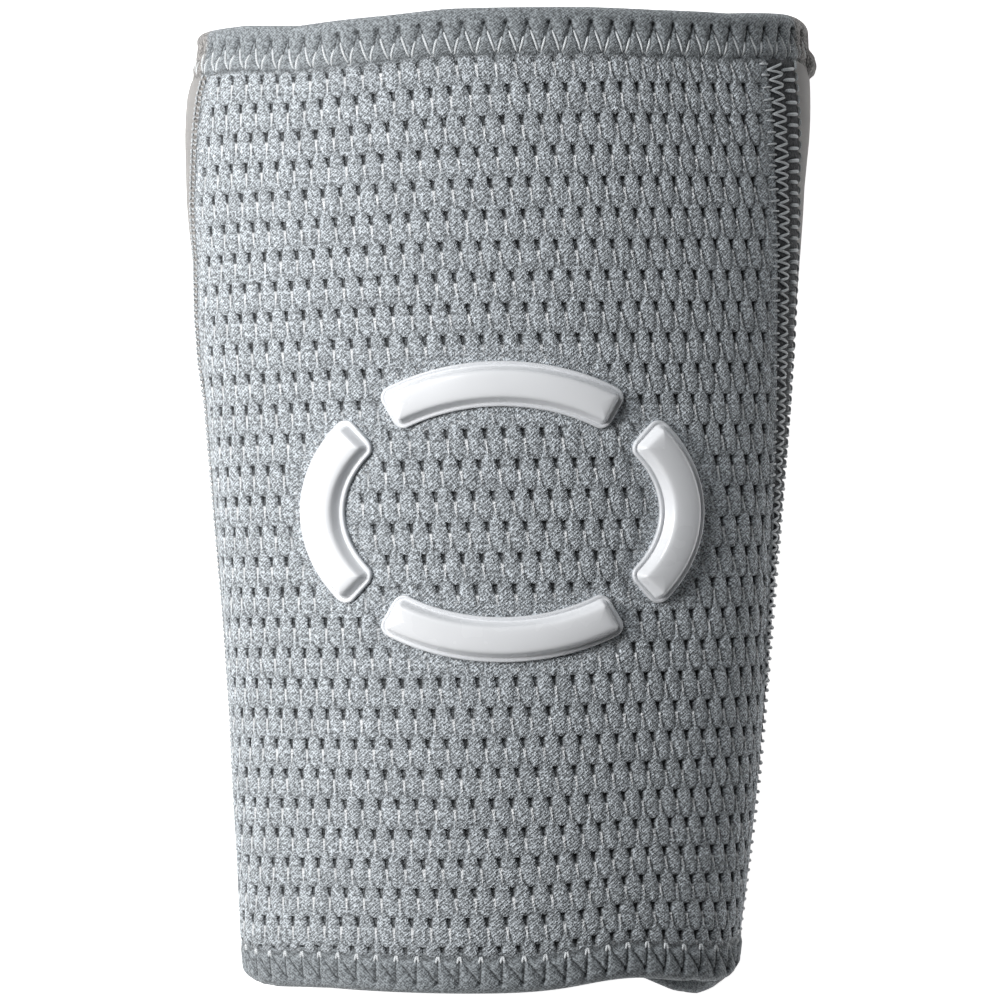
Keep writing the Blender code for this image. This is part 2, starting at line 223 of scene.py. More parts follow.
# Side seams: how far a band laps over its neighbours and sinks under the front, its relief, how far the
# front's edge covers its threads, and one repeat's length. Each thread of a repeat has where it starts and
# how far it runs along in repeats, its ends across from the inner edge, how high it arches and its radius.
# SEAM_WOBBLE holds sizes and their waves in radians a metre.
SEAM_OVERLAP = 0.0003
UNDER_KNIT = 0.0010
COVER_FADE = (-0.0002, 0.0006)
BAND_GRID = (420, 18)
BAND_RISE = 0.00034
BAND_RUNG = 0.00009
BAND_SINK = 0.00020
BAND_BASE = -0.0021
SEAM_END_GAP = 0.0006
RUNG_TAPER = (0.45, 0.9, 1.0, 1.0, 1.0, 0.9, 0.45)
SEAM_WOBBLE = ((0.00016, 2900.0), (0.00010, 7100.0))
COVER_REACH = 0.0028
SEAM_PITCH = {"left": 0.00083, "right": 0.00166}
SEAM_PLAN = {
    "right": (
        (0.00, 0.06, (0.0019, 0.0047), 0.00052, 0.00030),
        (0.00, 0.50, (-0.0011, 0.0020), 0.00046, 0.00021),
        (0.00, -0.50, (-0.0011, 0.0020), 0.00046, 0.00021),
        (0.30, 0.06, (-0.0026, -0.0007), 0.00036, 0.00019),
        (0.00, 0.80, (0.0053, 0.0053), 0.00040, 0.00019),
    ),
    "left": (
        (0.00, 0.72, (0.0041, 0.0041), 0.00034, 0.00019),
        (0.00, 0.60, (0.0029, 0.0029), 0.00026, 0.00013),
        (0.30, 0.30, (0.0031, 0.0037), 0.00022, 0.00012),
    ),
}

# Across a stroke from its outline: distance inwards, and height over the skin, in millimetres
BADGE_PROFILE = (
    (0.00, -0.45), (0.00, 0.20), (0.03, 0.36), (0.12, 0.46), (0.26, 0.50), (0.42, 0.47), (0.54, 0.38),
    (0.62, 0.36), (0.70, 0.42), (0.82, 0.66), (1.02, 1.12), (1.22, 1.58), (1.36, 1.84), (1.50, 2.02),
    (1.68, 2.13), (1.95, 2.20), (2.30, 2.25), (2.70, 2.28), (3.10, 2.30), (3.36, 2.30),
)
BADGE_CORNER = 0.0017
BADGE_NAMES = ("right", "top", "left", "bottom")
BADGE_FILM = 0.58

# Loops of yarn and of plain knit as width and length, and the twist of a thread, in millimetres
YARN_LOOP = (0.62, 0.50)
KNIT_LOOP = (0.30, 0.26)
THREAD_TWIST = 0.55

# Colours and tones, floor, lights and camera. A pair is where a smooth change starts and ends, and YARN_TONE
# has the tones at both too.
MESH_COLOUR = (0.485, 0.523, 0.556)
# Colour of the painted highlights at the leaves' heads and of the painted glints on pressed yarn
MESH_PAINTED_HIGHLIGHT = (0.93, 0.95, 0.97)
YARN_TONE = (0.22, 0.86, 0.40, 1.60)
# Where the painted highlight at a leaf's head lies down the leaf, and how its wedge narrows
PAINTED_HIGHLIGHT_DOWN = (0.150, 0.180)
PAINTED_HIGHLIGHT_WEDGE = (0.110, 0.065)
STRAND_DOWN = (0.105, 0.080)
STRAND_ASIDE = (0.060, 0.025)
EYELET_EDGE = (-0.004, -0.052)
GROOVE_EDGE = (0.056, 0.0)
# Strengths of the painted shade in the eyelets, in the grooves and along the knit's borders, then how much a
# lighter strand in an eyelet lifts it
EYELET_PAINTED_SHADE = 0.70
GROOVE_PAINTED_SHADE = 0.42
BORDER_PAINTED_SHADE = 0.55
STRAND_LIGHT = 0.42
HEM_FRONT_COLOUR = (0.275, 0.30, 0.318)
LINING_COLOUR = (0.30, 0.325, 0.34)
WARM_COLOUR = (0.275, 0.265, 0.257)
THREAD_COLOUR = (0.78, 0.81, 0.83)
RUNG_COLOUR = (0.62, 0.65, 0.67)
SEAM_COLOUR = (0.052, 0.056, 0.061)
LEFT_BAND_COLOUR = (0.25, 0.237, 0.225)
BADGE_COLOUR = (0.90, 0.915, 0.94)
FILM_COLOUR = (0.80, 0.82, 0.85)
FLOOR_COLOUR = (0.95, 0.95, 0.95)
FLOOR_REACH = 6.0
FLOOR_DROP = 0.0003
FLOOR_GLOW = 0.95
SKY_STRENGTH = 0.06
KEY_PLACE = (-0.318, 0.040, 0.300)
KEY_SIZE = 0.14
KEY_POWER = 1.38
KEY_COLOUR = (1.0, 0.99, 0.98)
FILL_PLACE = (-0.185, 0.200, 0.355)
FILL_SIZE = 0.16
FILL_POWER = 0.74
FILL_COLOUR = (0.96, 0.98, 1.0)
CAMERA_PLACE = (0.0005, 0.0021, 0.570)
CAMERA_LENS = 127.6


def smooth_step(low, high, value):
    share = np.clip((value - low) / (high - low), 0.0, 1.0)
    return share * share * (3.0 - 2.0 * share)


def plateau(value, low, full, last, high):
    """0 up to low, 1 from full to last and 0 again past high, with smooth sides."""
    return smooth_step(low, full, value) * (1.0 - smooth_step(last, high, value))


def bump(value, middle, spread):
    return np.exp(-((value - middle) / spread) ** 2)


def read_off(pairs, value):
    """Straight lines between pairs, read at a value and turned from millimetres to metres."""
    return MM * np.interp(value, *zip(*pairs))


def between_cells(table, row, column, side=()):
    """Value of a table, or of one side's, at a row and column that needn't be whole numbers."""
    low = np.minimum(row.astype(int), table.shape[-2] - 2)
    first = np.minimum(column.astype(int), table.shape[-1] - 2)
    row_part = row - low
    part = column - first
    near = table[(*side, low, first)] * (1.0 - row_part) + table[(*side, low + 1, first)] * row_part
    far = table[(*side, low, first + 1)] * (1.0 - row_part) + table[(*side, low + 1, first + 1)] * row_part
    return near * (1.0 - part) + far * part


class Skin:
    """The cuff's outer skin as tables of section points."""

    def __init__(self):
        self.share = np.linspace(0.0, 1.0, SKIN_ROWS + 1)
        self.row = self.blended_sections()
        row = self.row
        width = WRIST_WIDTH + (FOREARM_WIDTH - WRIST_WIDTH) * row["spread"]
        row["half"] = width / 2.0
        row["crown"] = WRIST_HEIGHT + (FOREARM_HEIGHT - WRIST_HEIGHT) * row["rise"]
        row["side_height"] = row["crown"] * row["side"]
        row["shift"] = row["centre"] * WRIST_WIDTH
        self.girth = {}
        tables = {"x": [], "z": [], "out_x": [], "out_z": []}
        for side in SIDES:
            sections = self.half_sections(side)
            for name, table in tables.items():
                table.append(sections[name])
        self.table = {name: np.array(table) for name, table in tables.items()}
        self.heights = self.height_table()

    def blended_sections(self):
        """The section table along the cuff, with its bends eased."""
        table = np.array(SECTIONS)
        rows = {}
        for index, column in enumerate(SECTION_COLUMNS[1:], start=1):
            total = np.zeros(SKIN_ROWS + 1)
            weights = 0.0
            for offset in np.linspace(-2.0, 2.0, 17):
                at = self.share + offset * SECTION_BLEND
                inside = np.where(at < 0.0, -at, np.where(at > 1.0, 2.0 - at, at))
                value = np.interp(inside, table[:, 0], table[:, index])
                value = np.where(at < 0.0, 2.0 * table[0, index] - value, value)
                value = np.where(at > 1.0, 2.0 * table[-1, index] - value, value)
                weight = math.exp(-offset ** 2)
                total += weight * value
                weights += weight
            rows[column] = total / weights
        return rows

    def half_sections(self, side):
        """One side of every section from crown to bottom centre, resampled evenly by girth."""
        sign = SIDES[side]
        half = self.row["half"][:, None]
        crown = self.row["crown"][:, None]
        side_height = self.row["side_height"][:, None]
        crown_x = CROWN_SHIFT * half
        reach = half - sign * crown_x
        corner = CORNER_SHARE[side] * half
        turn = np.linspace(0.0, math.pi / 2.0, CURVE_STEPS + 1)[None, :]
        share = np.sin(turn)
        arch = ARCH_SHARE[side]
        drop = arch * (1.0 - share ** 2) + (1.0 - arch) * np.sqrt(1.0 - share ** ROLL_POWER[side])
        upper_x = crown_x + sign * reach * share
        upper_z = side_height + (crown - side_height) * drop
        lower_x = sign * (half - corner * (1.0 - np.cos(turn[:, 1:])))
        lower_z = side_height * (1.0 - np.sin(turn[:, 1:]))
        flat = np.linspace(0.0, 1.0, 17)[None, 1:]
        flat_x = sign * (half - corner) * (1.0 - flat)
        x = np.hstack((upper_x, lower_x, flat_x)) + self.row["shift"][:, None]
        z = np.hstack((upper_z, lower_z, np.zeros_like(flat_x)))
        even = np.linspace(0.0, 1.0, SKIN_COLUMNS + 1)
        out = {"x": [], "z": [], "out_x": [], "out_z": []}
        girths = []
        for line_x, line_z in zip(x, z):
            length = np.concatenate(([0.0], np.cumsum(np.hypot(np.diff(line_x), np.diff(line_z)))))
            girths.append(length[-1])
            place = even * length[-1]
            even_x = np.interp(place, length, line_x)
            even_z = np.interp(place, length, line_z)
            run = np.gradient(even_x)
            fall = np.gradient(even_z)
            size = np.hypot(run, fall)
            out["x"].append(even_x)
            out["z"].append(even_z)
            out["out_x"].append(-sign * fall / size)
            out["out_z"].append(sign * run / size)
        self.girth[side] = np.array(girths)
        return out

    def height_table(self):
        """Height of the upper skin over a grid of x and distance along."""
        places = np.linspace(-HEIGHT_REACH, HEIGHT_REACH, HEIGHT_COLUMNS + 1)
        upper = slice(0, int(0.45 * SKIN_COLUMNS))
        heights = []
        for index in range(SKIN_ROWS + 1):
            left_x = self.table["x"][0][index][upper][::-1]
            left_z = self.table["z"][0][index][upper][::-1]
            right_x = self.table["x"][1][index][upper][1:]
            right_z = self.table["z"][1][index][upper][1:]
            line_x = np.concatenate((left_x, right_x))
            line_z = np.concatenate((left_z, right_z))
            heights.append(np.interp(places, line_x, line_z))
        return np.array(heights)

    def by_row(self, name, along):
        return np.interp(along / LENGTH, self.share, self.row[name])

    def side_girth(self, along, right):
        left_girth = np.interp(along / LENGTH, self.share, self.girth["left"])
        right_girth = np.interp(along / LENGTH, self.share, self.girth["right"])
        return np.where(right, right_girth, left_girth)

    def whole_girth(self, along):
        return self.side_girth(along, True) + self.side_girth(along, False)

    def look_up(self, name, along, around):
        row = np.clip(along / LENGTH, 0.0, 1.0) * SKIN_ROWS
        column = np.clip(np.abs(around), 0.0, 1.0) * SKIN_COLUMNS
        side = (around > 0.0).astype(int)
        return between_cells(self.table[name], row, column, (side,))

    def end_shift(self, along, x, z):
        """How far a skin point moves along Y so that both ends have their real cut."""
        side_height = self.by_row("side_height", along)
        place = (x - self.by_row("shift", along)) / self.by_row("half", along)
        rise = (z - side_height) / (self.by_row("crown", along) - side_height)
        sink = (side_height - z) / side_height
        front = smooth_step(*FRONT_BLEND, rise)
        back = smooth_step(*BACK_BLEND, sink)
        wave = bump(place, *WAVE_ACROSS)
        droop = bump(place, *DROOP_ACROSS)
        wrist = front * (WRIST_FRONT_CUT + WRIST_FRONT_WAVE * wave) - back * WRIST_BACK_DROOP * droop
        forearm = 0.5 * FOREARM_SLANT * place
        past_wrist_hem = np.maximum(0.0, along - WRIST_HEM_DEPTH)
        past_forearm_hem = np.maximum(0.0, LENGTH - FOREARM_HEM_DEPTH - along)
        wrist = wrist + read_off(WRIST_TRIM, place) + back * read_off(WRIST_BACK_TRIM, place)
        forearm = forearm + front * read_off(FOREARM_TRIM, place)
        near_wrist = np.maximum(0.0, 1.0 - past_wrist_hem / END_FADE) ** 2
        near_forearm = np.maximum(0.0, 1.0 - past_forearm_hem / END_FADE) ** 2
        return wrist * near_wrist + forearm * near_forearm

    def point(self, along, around, height):
        """Points at a height over the skin, in the model's frame; none is under the floor."""
        x = self.look_up("x", along, around)
        z = self.look_up("z", along, around)
        out_x = self.look_up("out_x", along, around)
        out_z = self.look_up("out_z", along, around)
        y = along + self.end_shift(along, x, z)
        height = height + self.side_trim(along, around)
        points = np.stack((x + height * out_x, y, np.maximum(0.0, z + height * out_z)), axis=-1)
        return points - ORIGIN

    def side_trim(self, along, around):
        total = 0.0
        for side, sign in SIDES.items():
            share = plateau(sign * around, *TRIM_AROUND[side])
            total = total + share * read_off(SIDE_TRIM[side], along / MM)
        return total

    def outward(self, along, around):
        out_x = self.look_up("out_x", along, around)
        out_z = self.look_up("out_z", along, around)
        return np.stack((out_x, np.zeros_like(out_x), out_z), axis=-1)

    def around(self, along, across):
        return across / self.side_girth(along, across > 0.0)

    def across(self, along, around):
        return around * self.side_girth(along, around > 0.0)

    def ring(self, along, turn):
        """Places around from a share of the whole girth, from the crown by the right."""
        right = self.side_girth(along, True)
        left = self.side_girth(along, False)
        place = turn * (right + left)
        return np.where(place <= right, place / right, -(right + left - place) / left)

    def ring_turn(self, along, around):
        """The share of the whole girth that ring() takes for a place around."""
        right = self.side_girth(along, True)
        left = self.side_girth(along, False)
        return np.where(around >= 0.0, around * right, right + left + around * left) / (right + left)

    def seam_edges(self, along, side):
        """Places across of a seam's inner edge, towards the crown, and outer edge, towards the back."""
        sign = SIDES[side]
        reach = SEAM_WIDTH[side] / 2.0
        middle = np.abs(self.by_row(side + "_seam", along)) * self.side_girth(along, side == "right")
        return sign * (middle - reach), sign * (middle + reach)

    def height(self, x, y):
        row = np.clip(y / LENGTH, 0.0, 1.0) * SKIN_ROWS
        column = np.clip((x + HEIGHT_REACH) / (2.0 * HEIGHT_REACH), 0.0, 1.0) * HEIGHT_COLUMNS
        return between_cells(self.heights, row, column)

    def over(self, x, y, height):
        """Points at a height over the upper skin, measured square to it."""
        slope_x = (self.height(x + SLOPE_STEP, y) - self.height(x - SLOPE_STEP, y)) / (2.0 * SLOPE_STEP)
        slope_y = (self.height(x, y + SLOPE_STEP) - self.height(x, y - SLOPE_STEP)) / (2.0 * SLOPE_STEP)
        size = np.sqrt(1.0 + slope_x ** 2 + slope_y ** 2)
        base = self.height(x, y)
        points = (x - height * slope_x / size, y - height * slope_y / size, base + height / size)
        return np.stack(points, axis=-1) - ORIGIN


# Meshes


def grid_cells(rows, columns, wrap_rows=False, wrap_columns=False):
    """Corners of every cell of a grid as (row, column); a wrapped grid's last cells run past its end."""
    row, column = np.meshgrid(
        np.arange(rows if wrap_rows else rows - 1),
        np.arange(columns if wrap_columns else columns - 1),
        indexing="ij",
    )
    row = row.ravel()
    column = column.ravel()
    corners = ((row, column), (row, column + 1), (row + 1, column + 1), (row + 1, column))
    return np.array(corners).transpose(2, 0, 1)


def signed_volume(points, faces):
    a, b, c, d = (points[faces[:, corner]] for corner in range(4))
    first = np.einsum("ij,ij->i", a, np.cross(b, c)).sum()
    second = np.einsum("ij,ij->i", a, np.cross(c, d)).sum()
    return first + second


def facing_up(points, faces):
    a, b, c, d = (points[faces[:, corner]] for corner in range(4))
    return np.cross(c - a, d - b)[:, 2].sum()


def add_piece(name, points, faces, material, maps, values, open_sheet=False):
    """A mesh of four-cornered faces. Maps hold a pair for each face corner, values one number a point."""
    outward = facing_up(points, faces) if open_sheet else signed_volume(points, faces)
    if outward < 0.0:
        faces = faces[:, ::-1]
        maps = {key: pairs[:, ::-1] for key, pairs in maps.items()}
    mesh = bpy.data.meshes.new(name)
    mesh.vertices.add(len(points))
    mesh.vertices.foreach_set("co", np.ascontiguousarray(points, dtype=np.float32).ravel())
    mesh.loops.add(faces.size)
    mesh.loops.foreach_set("vertex_index", np.ascontiguousarray(faces, dtype=np.int32).ravel())
    mesh.polygons.add(len(faces))
    mesh.polygons.foreach_set("loop_start", np.arange(0, faces.size, 4, dtype=np.int32))
    mesh.update(calc_edges=True)
    for key, pairs in maps.items():
        layer = mesh.uv_layers.new(name=key)
        layer.data.foreach_set("uv", np.ascontiguousarray(pairs, dtype=np.float32).ravel())
    for key, numbers in values.items():
        attribute = mesh.attributes.new(key, "FLOAT", "POINT")
        attribute.data.foreach_set("value", np.ascontiguousarray(numbers, dtype=np.float32).ravel())
    mesh.materials.append(material)
    mesh.shade_smooth()
    mesh.validate()
    item = bpy.data.objects.new(name, mesh)
    bpy.context.scene.collection.objects.link(item)
    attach(item, "root")
    return item


def grid_piece(name, points, material, maps, values, wrap=(False, False), open_sheet=False, keep=None):
    """A piece from a grid of points. Maps are grids too, with one more line on each wrapped side."""
    rows, columns = points.shape[:2]
    cells = grid_cells(rows, columns, *wrap)
    if keep is not None:
        cells = cells[keep(cells)]
    faces = (cells[..., 0] % rows) * columns + cells[..., 1] % columns
    used, faces = np.unique(faces, return_inverse=True)
    faces = faces.reshape(-1, 4)
    pairs = {key: grid[cells[..., 0], cells[..., 1]] for key, grid in maps.items()}
    numbers = {key: grid.reshape(-1)[used] for key, grid in values.items()}
    return add_piece(name, points.reshape(-1, 3)[used], faces, material, pairs, numbers, open_sheet)


def tube_points(paths, outward, radii):
    """Rings of points round each path; paths (n, k, 3), outward directions (n, k, 3), radii (n, k)."""
    along = np.gradient(paths, axis=1)
    along /= np.linalg.norm(along, axis=-1, keepdims=True)
    aside = np.cross(along, outward)
    aside /= np.linalg.norm(aside, axis=-1, keepdims=True)
    up = np.cross(aside, along)
    turn = np.arange(THREAD_SIDES) * 2.0 * math.pi / THREAD_SIDES
    ring = np.cos(turn)[:, None] * up[:, :, None, :] + np.sin(turn)[:, None] * aside[:, :, None, :]
    return paths[:, :, None, :] + radii[:, :, None, None] * ring


def thread_piece(name, paths, outward, radii, material):
    """One piece of many short threads, each with pointed ends."""
    count, stations = paths.shape[:2]
    rings = tube_points(paths, outward, radii)
    cells = grid_cells(stations, THREAD_SIDES, wrap_columns=True)
    caps = np.array(((3, 2, 1, 0), (5, 4, 3, 0)))
    last = (stations - 1) * THREAD_SIDES + caps[:, ::-1]
    local = np.vstack((cells[..., 0] * THREAD_SIDES + cells[..., 1] % THREAD_SIDES, caps, last))
    faces = (local[None] + (np.arange(count) * stations * THREAD_SIDES)[:, None, None]).reshape(-1, 4)
    step = np.linalg.norm(np.diff(paths, axis=1), axis=-1)
    run = np.concatenate((np.zeros((count, 1)), np.cumsum(step, axis=1)), axis=1) / MM
    cap_row = np.zeros_like(caps)
    cell_row = np.vstack((cells[..., 0], cap_row, cap_row + stations - 1))
    cell_turn = np.vstack((cells[..., 1], caps, caps)) / THREAD_SIDES
    number = np.arange(count)[:, None, None]
    along = run[number, cell_row[None]] + 3.7 * number
    turns = np.broadcast_to(cell_turn[None], along.shape)
    maps = {"thread": np.stack((along, turns), axis=-1).reshape(-1, 4, 2)}
    return add_piece(name, rings.reshape(-1, 3), faces, material, maps, {})


# Materials


class Value:
    """An output in a material's graph; sums and products of it add math nodes."""

    def __init__(self, graph, socket):
        self.graph = graph
        self.socket = socket

    def __add__(self, other):
        return self.graph.math("ADD", self, other)

    def __radd__(self, other):
        return self.graph.math("ADD", other, self)

    def __sub__(self, other):
        return self.graph.math("SUBTRACT", self, other)

    def __rsub__(self, other):
        return self.graph.math("SUBTRACT", other, self)

    def __mul__(self, other):
        return self.graph.math("MULTIPLY", self, other)

    def __truediv__(self, other):
        return self.graph.math("DIVIDE", self, other)

    def absolute(self):
        return self.graph.math("ABSOLUTE", self)

    def fract(self):
        return self.graph.math("FRACT", self)

    def wave(self, count=1.0):
        """A sine with so many waves to each whole number of the value."""
        return self.graph.math("SINE", self * (count * 2.0 * math.pi))

    def ramp(self, low, high, first=0.0, last=1.0):
        """Smooth change from first to last as the value goes from low to high."""
        inputs = (self, low, high, first, last)
        return self.graph.node("ShaderNodeMapRange", inputs, interpolation_type="SMOOTHSTEP")


class Graph:
    """A material's node graph, with its principled shader."""

    def __init__(self, name):
        self.material = bpy.data.materials.new(name)
        self.material.use_nodes = True
        self.tree = self.material.node_tree
        self.shader = self.tree.nodes["Principled BSDF"]

    def put(self, socket, value):
        """Give a socket a value, a colour or a number."""
        if isinstance(value, Value):
            self.tree.links.new(value.socket, socket)
        elif isinstance(value, tuple):
            socket.default_value = (*value, 1.0)
        else:
            socket.default_value = value

    def fill(self, kind, inputs, **settings):
        """A new node with its settings and inputs, which are told by name or number."""
        made = self.tree.nodes.new(kind)
        for key, value in settings.items():
            setattr(made, key, value)
        for key, value in inputs.items():
            self.put(made.inputs[key], value)
        return made

    def node(self, kind, inputs=(), output=0, **settings):
        made = self.fill(kind, dict(enumerate(inputs)), **settings)
        return Value(self, made.outputs[output])

    def math(self, operation, *values, clamp=False):
        return self.node("ShaderNodeMath", values, operation=operation, use_clamp=clamp)

    def map(self, name):
        """A map as a place and as its two numbers."""
        place = self.node("ShaderNodeUVMap", uv_map=name)
        split = self.fill("ShaderNodeSeparateXYZ", {0: place})
        return place, Value(self, split.outputs[0]), Value(self, split.outputs[1])

    def value(self, name):
        return self.node("ShaderNodeAttribute", output=2, attribute_name=name)

    def place(self):
        return self.node("ShaderNodeTexCoord", output=3)

    def noise(self, vector, scale, detail=2.0, rough=0.5):
        inputs = {"Vector": vector, "Scale": scale, "Detail": detail, "Roughness": rough}
        return Value(self, self.fill("ShaderNodeTexNoise", inputs).outputs[0])

    def colour(self, factor, first, last, blend="MIX"):
        inputs = {0: factor, 6: first, 7: last}
        made = self.fill("ShaderNodeMix", inputs, data_type="RGBA", blend_type=blend)
        return Value(self, made.outputs[2])

    def scaled(self, colour, factor):
        """A colour times a number."""
        return self.colour(1.0, colour, self.node("ShaderNodeCombineXYZ", (factor,) * 3), "MULTIPLY")

    def curve(self, value, pairs):
        """The value read off straight lines between pairs."""
        made = self.fill("ShaderNodeFloatCurve", {"Value": value})
        made.mapping.use_clip = False
        line = made.mapping.curves[0]
        line.points[0].location = pairs[0]
        line.points[1].location = pairs[-1]
        for pair in pairs[1:-1]:
            line.points.new(*pair)
        for point in line.points:
            point.handle_type = "VECTOR"
        made.mapping.update()
        return Value(self, made.outputs[0])

    def relief(self, height, distance, strength=1.0):
        inputs = {"Strength": strength, "Distance": distance, "Height": height}
        made = self.fill("ShaderNodeBump", inputs)
        self.put(self.shader.inputs["Normal"], Value(self, made.outputs[0]))

    def finish(self, colour, roughness, sheen=0.0, coat=0.0):
        self.put(self.shader.inputs["Base Color"], colour)
        self.put(self.shader.inputs["Roughness"], roughness)
        self.shader.inputs["Sheen Weight"].default_value = sheen
        self.shader.inputs["Sheen Roughness"].default_value = 0.5
        self.shader.inputs["Coat Weight"].default_value = coat
        self.shader.inputs["Coat Roughness"].default_value = 0.12
        return self.material


def yarn_grain(graph, cloth, across, along):
    """Slanting loops of spun yarn, about half a millimetre long, blurred by stray fibres: 0 to 1."""
    stray = graph.noise(cloth, 1.1, 2.0) - 0.5
    slant = (across + stray) / YARN_LOOP[0]
    rise = (along + stray * 0.90) / YARN_LOOP[1]
    loops = (rise + slant).wave() * 0.15 + (rise - slant).wave() * 0.12
    fibre = (graph.noise(cloth, 1.9, 3.0, 0.60) - 0.5) * 2.1
    return loops + fibre + 0.5


def line_mark(across, along, first, last, width):
    """1 on a straight line between two places and 0 beside it, all in millimetres."""
    run = (last[0] - first[0], last[1] - first[1])
    size = math.hypot(*run)
    aside = (across - first[0]) * (run[1] / size)
    ahead = (along - first[1]) * (run[0] / size)
    low, high = sorted((first[1], last[1]))
    between = along.ramp(low - 0.2, low + 0.2) * along.ramp(high + 0.2, high - 0.3)
    return (aside - ahead).absolute().ramp(width, 0.3 * width) * between


def wales(across, along, wale, stitch):
    """Knitted loops: 1 on the yarn and 0 between, from two lengths in millimetres."""
    aside = ((across / wale).fract() - 0.5).absolute()
    loops = (along / stitch + aside).wave().ramp(-0.9, 0.9)
    return loops * (0.35 + aside.ramp(0.5, 0.32) * 0.65)


def eyelet_material():
    graph = Graph("eyelet_knit")
    cloth, _, along = graph.map("cloth")
    _, column, row = graph.map("pattern")
    flat = graph.value("flatten")
    stray = (graph.noise(cloth, 0.55) - 0.5) * 0.12
    column = column + stray
    row = row + stray * 0.8
    edges = []
    painted_highlights = []
    strands = []
    asides = []
    for family in (0.0, 1.0):
        down = ((family - row) * 0.5).fract()
        signed = (column + (0.5 + 0.5 * family)).fract() - 0.5
        aside = signed.absolute()
        edges.append(graph.curve(down, tuple(zip(LEAF_DOWN, LEAF_HALF))) - aside)
        asides.append(signed)
        # A painted highlight at each leaf's head, a wedge that narrows downwards
        wedge = aside + (down - 0.17) * 0.34
        painted_highlights.append(down.ramp(*PAINTED_HIGHLIGHT_DOWN) * wedge.ramp(*PAINTED_HIGHLIGHT_WEDGE))
        strands.append(down.ramp(*STRAND_DOWN) * aside.ramp(*STRAND_ASIDE))
    edge = graph.math("MAXIMUM", *edges)
    first = graph.math("GREATER_THAN", *edges)
    signed = asides[0] * first + asides[1] * (1.0 - first)
    raised = graph.math("SUBTRACT", 1.0, flat, clamp=True)
    lively = graph.noise(cloth, 0.30, 1.0)
    hole = edge.ramp(*EYELET_EDGE) * raised
    strand = graph.math("MAXIMUM", *strands) * hole * lively.ramp(0.35, 0.60)
    groove = edge.ramp(*GROOVE_EDGE) * (0.35 + raised * 0.65)
    yarn = yarn_grain(graph, cloth, signed * (COLUMN_PITCH / MM), along)
    tone = yarn.ramp(*YARN_TONE)
    tone = tone * lively.ramp(0.25, 0.75, 0.90, 1.10)
    # Painted shade: darker towards each leaf's edge, lighter in its raised middle
    tone = tone * edge.ramp(0.02, 0.28, 0.92, 1.06)
    # Painted shade in the grooves between the leaves
    tone = tone * (1.0 - groove * GROOVE_PAINTED_SHADE)
    # Painted shade in the eyelets, lifted where a lighter strand crosses them, and painted shade along the
    # knit's borders
    painted_shade = (1.0 - hole * EYELET_PAINTED_SHADE + strand * STRAND_LIGHT) * (1.0 - graph.value("border") * BORDER_PAINTED_SHADE)
    colour = graph.scaled(MESH_COLOUR, tone * painted_shade)
    # Painted highlights at the raised leaves' heads
    painted_highlight = graph.math("MAXIMUM", *painted_highlights) * lively.ramp(0.30, 0.60, 0.75, 1.0) * raised
    colour = graph.colour(painted_highlight, colour, MESH_PAINTED_HIGHLIGHT)
    # Painted glints of yarn where the knit is pressed flat
    painted_glints = graph.noise(cloth, 1.7, 2.0).ramp(0.56, 0.68) * flat
    colour = graph.colour(painted_glints * 0.60, colour, MESH_PAINTED_HIGHLIGHT)
    graph.relief(yarn - hole * 0.8, 0.00030, 0.9)
    return graph.finish(colour, 0.78, sheen=0.08)


def hem_material(name, cold, hem=None):
    """Fine knit with a woolly face; a hem's has painted shade in its zigzag's creases, needle holes and edge
    too.
    """
    graph = Graph(name)
    cloth, across, along = graph.map("cloth")
    # Painted shade of the hem's grooves, needle holes and edge, and of the zigzag's creases
    painted_shade = graph.value("crease_painted_shade") * 0.75
    if hem:
        _, place, from_end = graph.map("stitch")
        pitch = hem["pitch"] / MM
        place = place.fract() * pitch
        for first, last in hem["creases"]:
            for turn in (-1.0, 0.0, 1.0):
                ends = [((x + turn) * pitch, s) for x, s in (first, last)]
                if max(ends)[0] > -0.1 and min(ends)[0] < pitch + 0.1:
                    mark = line_mark(place, from_end, *ends, CREASE_WIDTH)
                    painted_shade = graph.math("MAXIMUM", painted_shade, mark * CREASE_PAINTED_SHADE)
        painted_shade = painted_shade * graph.value("face")
    yarn = yarn_grain(graph, cloth, across, along)
    tone = yarn.ramp(0.15, 0.90, 0.50, 1.50)
    tone = tone * graph.noise(cloth, 0.5, 3.0).ramp(0.25, 0.75, 0.90, 1.10)
    colour = graph.colour(graph.value("back"), cold, WARM_COLOUR)
    graph.relief(yarn, 0.00018, 0.8)
    return graph.finish(graph.scaled(colour, tone * (1.0 - painted_shade)), 0.82, sheen=0.08)


def plain_knit_material(name, tint):
    graph = Graph(name)
    cloth, across, along = graph.map("cloth")
    loops = wales(across, along, *KNIT_LOOP)
    fuzz = graph.noise(cloth, 5.0, 2.0)
    tone = 0.84 + loops * 0.14 + fuzz * 0.14
    tone = tone * graph.noise(cloth, 0.12, 3.0).ramp(0.3, 0.7, 0.94, 1.05)
    graph.relief(loops, 0.00005, 0.6)
    return graph.finish(graph.scaled(tint, tone), 0.72, sheen=0.15)


def thread_material(name, tint):
    graph = Graph(name)
    spin, run, turn = graph.map("thread")
    ply = (run / THREAD_TWIST + turn).wave(2.0)
    tone = ply.ramp(-0.8, 0.8, 0.72, 1.08) * graph.noise(spin, 0.8).ramp(0.3, 0.7, 0.84, 1.10)
    graph.relief(ply, 0.00003, 0.6)
    return graph.finish(graph.scaled(tint, tone), 0.48, sheen=0.05)


